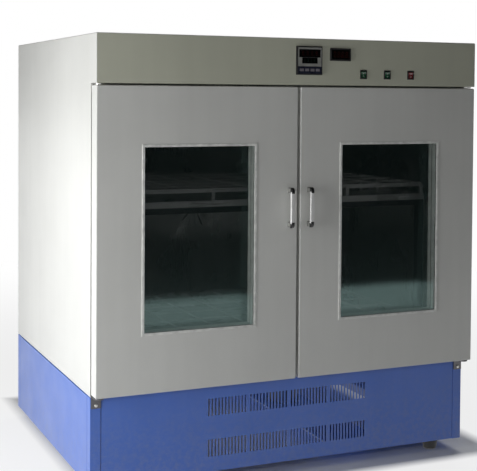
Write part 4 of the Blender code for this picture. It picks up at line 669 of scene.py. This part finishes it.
class INCUBATOR_OT_housings(bpy.types.Operator):
    """Painted case, header, doors and base with rounded edges, the feet and the hinge brackets"""

    bl_idname = "incubator.housings"
    bl_label = "Housings"
    bl_options = {"REGISTER", "UNDO"}

    def execute(self, context):
        for node, width in (("outer_case", 0.0006), ("back_panel", 0.0005),
                            ("door_shell_left", 0.0005), ("door_shell_right", 0.0005)):
            refine(node, "cabinet_paint", "white_paint", width)
        # The header's paint carries painted shade, darker than the doors
        refine("header_fascia", "header_paint_shaded", "white_paint", 0.0006)
        for node, width in (("base_frame", 0.0012), ("base_left_panel", 0.0006),
                            ("base_right_panel", 0.0006), ("base_back_panel", 0.0006)):
            refine(node, "base_paint", "blue_paint", width)
        refine("base_front_panel", "base_paint", "blue_paint", 0, merge_flats=False, smooth=5.0)
        for corner in ("left_front", "left_back", "right_front", "right_back"):
            refine("foot_" + corner, "black_rubber", "black_rubber", 0.0008, angle=20.0)
        for side in SIDES:
            # The bottom brackets are drawn in dark plate, the top ones in zinc: painted shade on the
            # brackets below the doors
            for end, finish in (("top", "zinc_plate"), ("bottom", "dark_plate")):
                refine("hinge_bracket_%s_%s" % (side, end), finish, "bright_steel", 0.0005)
        return {"FINISHED"}


class INCUBATOR_OT_chamber(bpy.types.Operator):
    """Stainless chamber, air duct, fan, heater and mineral wool"""

    bl_idname = "incubator.chamber"
    bl_label = "Chamber"
    bl_options = {"REGISTER", "UNDO"}

    def execute(self, context):
        refine("chamber_liner", "chamber_sheet", "stainless_steel", 0.0004, merge_flats=False)
        refine("air_duct_panel", "chamber_sheet", "stainless_steel", 0, merge_flats=False, smooth=5.0)
        refine("fan_impeller", "cast_aluminium", "aluminium", 0.0003)
        refine("fan_motor", "motor_enamel", "dark_steel", 0.0005)
        refine("heater_element", "turned_steel", "stainless_steel", 0)
        give_finish(frame["nodes"]["insulation"], "mineral_wool")
        return {"FINISHED"}


class INCUBATOR_OT_drive(bpy.types.Operator):
    """Deck, motor, pulleys, belt and cranks in the base"""

    bl_idname = "incubator.drive"
    bl_label = "Drive"
    bl_options = {"REGISTER", "UNDO"}

    def execute(self, context):
        refine("drive_deck", "dark_plate", "dark_steel", 0.0006)
        refine("drive_motor", "motor_enamel", "dark_steel", 0.0012)
        for node in ("main_pulley", "motor_pulley"):
            refine(node, "cast_aluminium", "aluminium", 0.0005)
        for node in ("main_crank", "idler_crank_left", "idler_crank_right"):
            refine(node, "turned_steel", "bright_steel", 0.0005)
        refine("drive_belt", "belt_rubber", "black_rubber", 0.0003)
        return {"FINISHED"}


class INCUBATOR_OT_platform(bpy.types.Operator):
    """Platform frame, trays and the spring racks on them"""

    bl_idname = "incubator.platform"
    bl_label = "Platform and springs"
    bl_options = {"REGISTER", "UNDO"}

    def execute(self, context):
        springs = context.scene.incubator_springs
        # The frame is drawn black as painted shade of the chamber
        refine("platform_frame", "shade_black_frame", "aluminium", 0.0012, merge_flats=False)
        for level in ("lower", "upper"):
            refine(level + "_tray", "tray_sheet", "stainless_steel", 0.0004)
            self.make_rack(level, springs)
        return {"FINISHED"}

    def make_rack(self, level, springs):
        node = level + "_spring_net"
        low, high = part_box(node)
        tray_low, tray_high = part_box(level + "_tray")
        middle = (low + high) / 2
        quarter = math.pi / 2
        for word, along, across, count, z, turn in (
                ("short", 1, 0, springs.short_springs, low.z + springs.coil,
                 Matrix.Rotation(-quarter, 4, "X")),
                ("long", 0, 1, springs.long_springs, high.z - springs.coil,
                 Matrix.Rotation(quarter, 4, "Y"))):
            spring = self.make_spring(word + "_spring", high[along] - low[along], springs)
            pitch = (tray_high[across] - tray_low[across]) / (count + 1)
            copies = []
            for index in range(count):
                place = middle.copy()
                place[across] += (index - (count - 1) / 2) * pitch
                place.z = z
                copies.append(copy_of(spring, Matrix.Translation(place) @ turn))
            discard(spring)
            rack = join("%s_%s_springs" % (level, word), copies)
            mount(rack, "platform", "spring_steel", "bright_steel", node)

    def make_spring(self, name, length, springs):
        """An extension spring along Z, centred on the origin, with a round loop at each end."""
        wire, outer, pitch = springs.wire, springs.coil, springs.pitch
        mean = outer - wire
        turns = int((length - 4 * outer) / pitch)
        upright = (math.pi / 2, 0, 0)
        body = add(name, "circle", vertices=4, radius=wire, location=(mean, 0, -turns * pitch / 2),
                   rotation=upright)
        steps = 7
        modify(body, "SCREW", axis="Z", angle=math.tau, screw_offset=pitch, iterations=turns, steps=steps,
               render_steps=steps, use_smooth_shade=True)
        edit(body, "VERT", lambda corner: corner.is_boundary)
        bpy.ops.mesh.fill_holes(sides=0)
        bpy.ops.mesh.select_all(action="SELECT")
        bpy.ops.mesh.normals_make_consistent(inside=False)
        done()
        loops = [add("loop", "torus", major_radius=mean, minor_radius=wire, major_segments=14,
                     minor_segments=5, location=(0, 0, end * (length / 2 - outer)), rotation=upright)
                 for end in (-1, 1)]
        spring = join(name, [body] + loops)
        only(spring)
        bpy.ops.object.shade_smooth()
        return spring


class INCUBATOR_OT_windows(bpy.types.Operator):
    """Door linings, panes, the bead round each window, spacers and door gaskets"""

    bl_idname = "incubator.windows"
    bl_label = "Windows and gaskets"
    bl_options = {"REGISTER", "UNDO"}

    def execute(self, context):
        trims = context.scene.incubator_trims
        for side in SIDES:
            refine("door_liner_" + side, "lining_sheet", "stainless_steel", 0.0004)
            for pane in ("outer_glass_", "inner_glass_"):
                refine(pane + side, "window_glass", "clear_glass", 0.0004, segments=1)
            self.make_bead(side, trims)
            self.make_spacer(side)
            self.make_gasket(side, trims)
        return {"FINISHED"}

    def window(self, side):
        """The window opening's low and high corner: the pane's box without its covered edge."""
        low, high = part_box("outer_glass_" + side)
        covered = 0.012
        return low + border(covered), high - border(covered)

    def make_bead(self, side, trims):
        """A rounded bead that hides the cut edge of the window opening."""
        low, high = self.window(side)
        inside = 0.0006
        grow = trims.trim_width - inside
        bead = add_ring("window_bead_" + side, low - border(grow), high + border(grow),
                        trims.trim_width, FRONT - trims.trim_proud, FRONT + TOUCH)
        soften(bead, 0.0016, 4)
        mount(bead, side + "_door", "trim_bead", "white_paint")

    def make_spacer(self, side):
        """Two pale spacer strips on the walls of the window opening, with a dark cord between them."""
        low, high = self.window(side)
        depth = LINING_BACK - PANE_BACK
        for word, start, end, thick, finish, slot in (
                ("front", 0.03, 0.46, 0.0016, "spacer_grey", "grey_rubber"),
                ("cord", 0.46, 0.54, 0.0009, "black_rubber", "black_rubber"),
                ("back", 0.54, 0.97, 0.0016, "spacer_grey", "grey_rubber")):
            strip = add_ring("glazing_%s_strip_%s" % (word, side), low, high, thick,
                             PANE_BACK + depth * start + TOUCH, PANE_BACK + depth * end - TOUCH)
            soften(strip, 0.0004, 2)
            mount(strip, side + "_door", finish, slot)

    def make_gasket(self, side, trims):
        """A magnetic gasket with folded lips, which stands for the plain one."""
        low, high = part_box("door_gasket_" + side)
        depth = high.y - low.y
        width = 0.016
        plate = add_ring("door_gasket_lips_" + side, low, high, width, low.y, low.y + depth * 0.36)
        soften(plate, 0.0008, 2)
        inset = border(trims.rib)
        lip = add_ring("lip", low + inset, high - inset, width - 2 * trims.rib, low.y + depth * 0.30, high.y)
        soften(lip, 0.0022, 4)
        fold = add_ring("fold", low + inset * 0.55, high - inset * 0.55, width - 1.1 * trims.rib,
                        low.y + depth * 0.52, low.y + depth * 0.72)
        soften(fold, 0.0007, 2)
        gasket = join("door_gasket_lips_" + side, [plate, lip, fold])
        # The gasket's near black is painted shade of the door gap
        mount(gasket, side + "_door", "gasket_rubber", "grey_rubber", "door_gasket_" + side)


def add_ring(name, low, high, width, front, back):
    """A rectangular ring in the XZ plane, width wide, from front to back."""
    ring = add(name, "plane", size=1, rotation=(math.pi / 2, 0, 0))
    ring.location = ((low.x + high.x) / 2, front, (low.z + high.z) / 2)
    ring.scale = (high.x - low.x, 1, high.z - low.z)
    settle(ring)
    edit(ring, "FACE", lambda face: True)
    bpy.ops.mesh.inset(thickness=width)
    bpy.ops.mesh.delete(type="FACE")
    done()
    modify(ring, "SOLIDIFY", thickness=back - front, offset=-1)
    return ring


class INCUBATOR_OT_handles(bpy.types.Operator):
    """Bow handles: a bright bar between two black ends on grey legs"""

    bl_idname = "incubator.handles"
    bl_label = "Handles"
    bl_options = {"REGISTER", "UNDO"}

    def execute(self, context):
        for side in SIDES:
            self.make_handle(side, context.scene.incubator_trims)
        return {"FINISHED"}

    def make_handle(self, side, trims):
        node = "door_handle_" + side
        low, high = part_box(node)
        body = side + "_door"
        middle = (low.x + high.x) / 2
        slim, near, nose = 0.0014, 1e-5, 0.012
        front = low.y + trims.end_depth
        ends, legs = [], []
        for tip, inner in ((low.z, low.z + trims.end_height), (high.z, high.z - trims.end_height)):
            bottom, top = min(tip, inner), max(tip, inner)
            block = add_block("handle_end", (low.x + slim, low.y, bottom), (high.x - slim, front, top))
            edit(block, "EDGE", lambda edge, tip=tip: all(
                abs(corner.co.z - tip) < near and corner.co.y < low.y + near for corner in edge.verts))
            bpy.ops.mesh.bevel(offset=nose, segments=6)
            done()
            soften(block, 0.0016, 3, 40.0)
            ends.append(block)
            leg = add_block("handle_leg", (low.x + 2 * slim, front - 0.002, bottom + 0.003),
                            (high.x - 2 * slim, high.y - 0.001, top - 0.003))
            soften(leg, 0.0020, 3)
            foot = add_block("handle_foot", (low.x + slim, high.y - 0.003, bottom + 0.001),
                             (high.x - slim, high.y, top - 0.001))
            soften(foot, 0.0012, 3)
            legs += [leg, foot]
        mount(join(node + "_ends", ends), body, "handle_plastic", "black_plastic", node)
        half_width = trims.bar_width / 2
        face = low.y + 0.0006
        reach = 0.006
        bar = add_block(node + "_bar", (middle - half_width, face, low.z + trims.end_height - reach),
                        (middle + half_width, face + trims.bar_depth, high.z - trims.end_height + reach))
        soften(bar, 0.0026, 5)
        mount(bar, body, "bright_bar", "bright_steel", node)
        mount(join(node + "_legs", legs), body, "grey_face", "grey_plastic", node)


class INCUBATOR_OT_controls(bpy.types.Operator):
    """Faces of the controller, the display and the three switches"""

    bl_idname = "incubator.controls"
    bl_label = "Controls"
    bl_options = {"REGISTER", "UNDO"}

    def execute(self, context):
        for node in ("temperature_controller", "speed_display"):
            refine(node, "black_plastic", "black_plastic", 0.0004)
        for index in range(1, 5):
            refine("controller_key_%d" % index, "key_plastic", "grey_plastic", 0.0005, segments=3)
        self.make_controller_face()
        self.make_display_face()
        for word, finish, slot in (("power", "green_rocker", "green_plastic"),
                                   ("shaker", "green_rocker", "green_plastic"),
                                   ("heater", "red_rocker", "red_plastic")):
            refine("switch_bezel_" + word, "black_plastic", "black_plastic", 0.0004)
            rocker = refine("switch_rocker_" + word, finish, slot, 0.0005, segments=3)
            self.make_rocker_marks(word, rocker)
        return {"FINISHED"}

    def make_controller_face(self):
        """A grey front plate with openings for two screens and the keys, and a dark strip under the keys."""
        low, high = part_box("temperature_controller")
        face = low.y
        keys = [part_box("controller_key_%d" % index) for index in range(1, 5)]
        plate_front, strip_front, back = face - 0.0004, face - 0.0003, face + 0.0001
        margin, above_keys, seam = 0.0045, 0.0075, 0.0004
        strip_top = keys[0][1].z + above_keys
        plate = add_block("controller_face_plate", (low.x + margin, plate_front, strip_top),
                          (high.x - margin, back, high.z - margin))
        screens = self.screens(low, high)
        self.cut_openings(plate, [(start, end) for name, start, end, finish in screens], face, 0.0012)
        soften(plate, 0.00015, 1)
        mount(plate, "cabinet", "grey_face", "grey_plastic")
        strip = add_block("controller_key_strip", (low.x + margin, strip_front, low.z + margin),
                          (high.x - margin, back, strip_top - seam))
        self.cut_openings(strip, keys, face, 0.0004)
        soften(strip, 0.0001, 1)
        mount(strip, "cabinet", "strip_film", "black_plastic")
        for name, start, end, finish in screens:
            self.make_screen(name, start, end, face, finish)

    def cut_openings(self, plate, openings, face, rim):
        """Cuts holes that leave a rim free round what stands in each of them."""
        through = 0.01
        for low, high in openings:
            carve(plate, add_block("hole", (low.x - rim, face - through, low.z - rim),
                                   (high.x + rim, face + through, high.z + rim)))

    def screens(self, low, high):
        """The two screen openings of the controller, where its model has recesses."""
        centre = (low + high) / 2
        quarter = (high.z - low.z) / 4
        upper = Vector((0.039, 0, 0.0125))
        lower = Vector((0.028, 0, 0.009))
        rise = Vector((0, 0, quarter))
        return (("upper_screen", centre + rise - upper, centre + rise + upper, "digit_red"),
                ("lower_screen", centre - lower, centre + lower, "digit_green"))

    def make_display_face(self):
        low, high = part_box("speed_display")
        lip = border(0.005)
        self.make_screen("speed_screen", low + lip, high - lip, low.y, "digit_red")

    def make_screen(self, name, low, high, face, finish):
        """Seven-segment figures, unlit, behind a smoked pane."""
        recess, film = 0.00095, 0.0002
        back = face + recess
        backing = add_block(name + "_backing", (low.x + TOUCH, back - film, low.z + TOUCH),
                            (high.x - TOUCH, back, high.z - TOUCH))
        soften(backing, 0.00005, 1)
        mount(backing, "cabinet", "screen_black", "black_plastic")
        height = (high.z - low.z) * 0.66
        width = height * 0.52
        pitch = (high.x - low.x) / (FIGURES + 0.6)
        middle = (low + high) / 2
        bars = []
        for index in range(FIGURES):
            x = middle.x + (index - (FIGURES - 1) / 2) * pitch
            bars += self.figure(Vector((x, back - film, middle.z)), width, height)
        mount(join(name + "_figures", bars), "cabinet", finish, "red_plastic")
        pane = add_block(name + "_pane", (low.x + TOUCH, face + 0.0001, low.z + TOUCH),
                         (high.x - TOUCH, face + 0.0005, high.z - TOUCH))
        soften(pane, 0.0001, 2)
        mount(pane, "cabinet", "screen_glass", "black_plastic")

    def figure(self, centre, width, height):
        """The seven bars and the point of one figure, as an 8."""
        thick = height * 0.085
        half, quarter = width / 2, height / 4
        level = [(0, up, half - thick * 1.3, thick) for up in (-height / 2 + thick, 0, height / 2 - thick)]
        upright = [(side * (half - thick), up * (quarter - thick / 2), thick, quarter - thick * 1.4)
                   for side in (-1, 1) for up in (-1, 1)]
        point = [(half + thick * 1.8, -height / 2 + thick, thick, thick)]
        bars = []
        for across, up, reach, rise in level + upright + point:
            spot = centre + Vector((across, 0, up))
            low, high = spot - Vector((reach, 0.00015, rise)), spot + Vector((reach, 0, rise))
            bars.append(add_block("bar", low, high))
        return bars

    def make_rocker_marks(self, word, rocker):
        """A bar on one half of the rocker and a ring on the other, as on any mains switch."""
        faces = [face for face in rocker.data.polygons if face.normal.y < -0.9]
        largest = sorted(faces, key=lambda face: -face.area)[:2]
        halves = sorted(largest, key=lambda face: face.center.z)
        marks = []
        for face, kind in zip(halves, ("ring", "bar")):
            middle, normal = Vector(face.center), Vector(face.normal)
            turn = normal.to_track_quat("Z", "X").to_matrix().to_4x4()
            if kind == "ring":
                mark = add("mark", "torus", major_radius=0.0024, minor_radius=0.00035, major_segments=28,
                           minor_segments=6)
            else:
                mark = add("mark", "cube", size=1, scale=(0.0007, 0.0046, 0.0006))
                turn = turn @ Matrix.Rotation(math.pi / 2, 4, "Z")
            mark.data.transform(Matrix.Translation(middle) @ turn)
            marks.append(mark)
        body = BODY_OF["switch_rocker_" + word]
        mount(join("rocker_marks_" + word, marks), body, "mark_white", "white_paint")


class INCUBATOR_OT_fasteners(bpy.types.Operator):
    """Pan-head screws of the back, the hinges, the door linings and the air duct, and the inlet's face"""

    bl_idname = "incubator.fasteners"
    bl_label = "Fasteners"
    bl_options = {"REGISTER", "UNDO"}

    def execute(self, context):
        refine("power_inlet", "black_plastic", "black_plastic", 0.0003)
        self.screw = self.make_screw()
        self.fasten_back()
        self.fasten_doors()
        self.fasten_chamber()
        discard(self.screw)
        return {"FINISHED"}

    def make_screw(self):
        """A domed head with a cross recess, facing up Z from the origin, 8 mm across."""
        height = 0.0024
        head = add("screw_master", "cylinder", vertices=20, radius=0.0040, depth=height,
                   location=(0, 0, height / 2))
        edit(head, "EDGE", lambda edge: all(corner.co.z > 0.002 for corner in edge.verts))
        bpy.ops.mesh.bevel(offset=0.0016, segments=4)
        done()
        for across, along in ((0.00045, 0.0021), (0.0021, 0.00045)):
            carve(head, add_block("slot", (-across, -along, 0.0012), (across, along, 0.004)))
        only(head)
        bpy.ops.object.shade_smooth_by_angle(angle=math.radians(35))
        return head

    def place_screws(self, name, places, normal, size=1.0, body="cabinet"):
        turn = normal.to_track_quat("Z", "Y").to_matrix().to_4x4()
        copies = [copy_of(self.screw, Matrix.Translation(place) @ turn @ Matrix.Scale(size, 4))
                  for place in places]
        mount(join(name, copies), body, "zinc_plate", "bright_steel")

    def along(self, start, end, count):
        return [Vector(start).lerp(Vector(end), index / (count - 1)) for index in range(count)]

    def fasten_back(self):
        low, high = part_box("back_panel")
        edge = 0.018
        corners = [(low.x + edge, high.y, low.z + edge), (high.x - edge, high.y, low.z + edge),
                   (high.x - edge, high.y, high.z - edge), (low.x + edge, high.y, high.z - edge)]
        places = []
        for start, end, count in zip(corners, corners[1:] + corners[:1], (7, 6, 7, 6)):
            places += self.along(start, end, count)[:-1]
        self.place_screws("back_panel_screws", places, BACKWARD)
        low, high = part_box("base_back_panel")
        places = []
        for z in (low.z + edge, high.z - edge):
            places += self.along((low.x + edge, high.y, z), (high.x - edge, high.y, z), 5)
        self.place_screws("base_back_screws", places, BACKWARD)
        low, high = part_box("power_inlet")
        z = (low.z + high.z) / 2
        places = [(x, high.y, z) for x in (low.x + 0.0052, high.x - 0.0052)]
        self.place_screws("inlet_screws", places, BACKWARD, 0.7)

    def fasten_doors(self):
        edge, rows, bracket_leg = 0.055, 5, 0.004
        for side in SIDES:
            low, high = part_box("door_liner_" + side)
            heights = [low.z + (high.z - low.z) * (row + 0.5) / rows for row in range(rows)]
            places = [(x, high.y, z) for x in (low.x + edge, high.x - edge) for z in heights]
            self.place_screws("door_lining_screws_" + side, places, BACKWARD, 0.8, side + "_door")
            low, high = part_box("hinge_bracket_%s_top" % side)
            leg_front = high.y - bracket_leg
            middle = (low.x + high.x) / 2
            places = [(middle + step, leg_front, high.z - 0.0165) for step in (-0.008, 0.008)]
            self.place_screws("hinge_screws_%s_top" % side, places, FORWARD, 0.9)
            low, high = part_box("hinge_bracket_%s_bottom" % side)
            places = [(middle, leg_front, low.z + 0.010)]
            self.place_screws("hinge_bolt_%s_bottom" % side, places, FORWARD, 1.35)

    def fasten_chamber(self):
        low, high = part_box("air_duct_panel")
        edge = 0.022
        places = []
        for x in (low.x + edge, high.x - edge):
            places += self.along((x, low.y, low.z + edge), (x, low.y, high.z - edge), 4)
        self.place_screws("air_duct_screws", places, FORWARD)


OPERATORS = (INCUBATOR_OT_stage, INCUBATOR_OT_housings, INCUBATOR_OT_chamber, INCUBATOR_OT_drive,
             INCUBATOR_OT_platform, INCUBATOR_OT_windows, INCUBATOR_OT_handles, INCUBATOR_OT_controls,
             INCUBATOR_OT_fasteners)
SETTINGS = {"incubator_finish": FinishSettings, "incubator_trims": TrimSettings,
            "incubator_springs": SpringSettings, "incubator_stage": StageSettings}


class INCUBATOR_PT_sidebar(bpy.types.Panel):
    """Lists the incubator's settings and the operators that make its pieces"""

    bl_label = "Shaking incubator"
    bl_idname = "INCUBATOR_PT_sidebar"
    bl_space_type = "VIEW_3D"
    bl_region_type = "UI"
    bl_category = "Incubator"

    def draw(self, context):
        for name, group in SETTINGS.items():
            column = self.layout.column()
            for label in group.__annotations__:
                column.prop(getattr(context.scene, name), label)
        for operator in OPERATORS:
            self.layout.operator(operator.bl_idname)


def register():
    for item in (*SETTINGS.values(), *OPERATORS, INCUBATOR_PT_sidebar):
        bpy.utils.register_class(item)
    for name, group in SETTINGS.items():
        setattr(bpy.types.Scene, name, PointerProperty(type=group))


def unregister():
    for name in SETTINGS:
        delattr(bpy.types.Scene, name)
    for item in (*SETTINGS.values(), *OPERATORS, INCUBATOR_PT_sidebar):
        bpy.utils.unregister_class(item)


def main():
    register()
    make_finishes(bpy.context.scene.incubator_finish)
    for operator in OPERATORS:
        getattr(bpy.ops.incubator, operator.bl_idname.split(".")[1])()


if __name__ == "__main__":
    main()
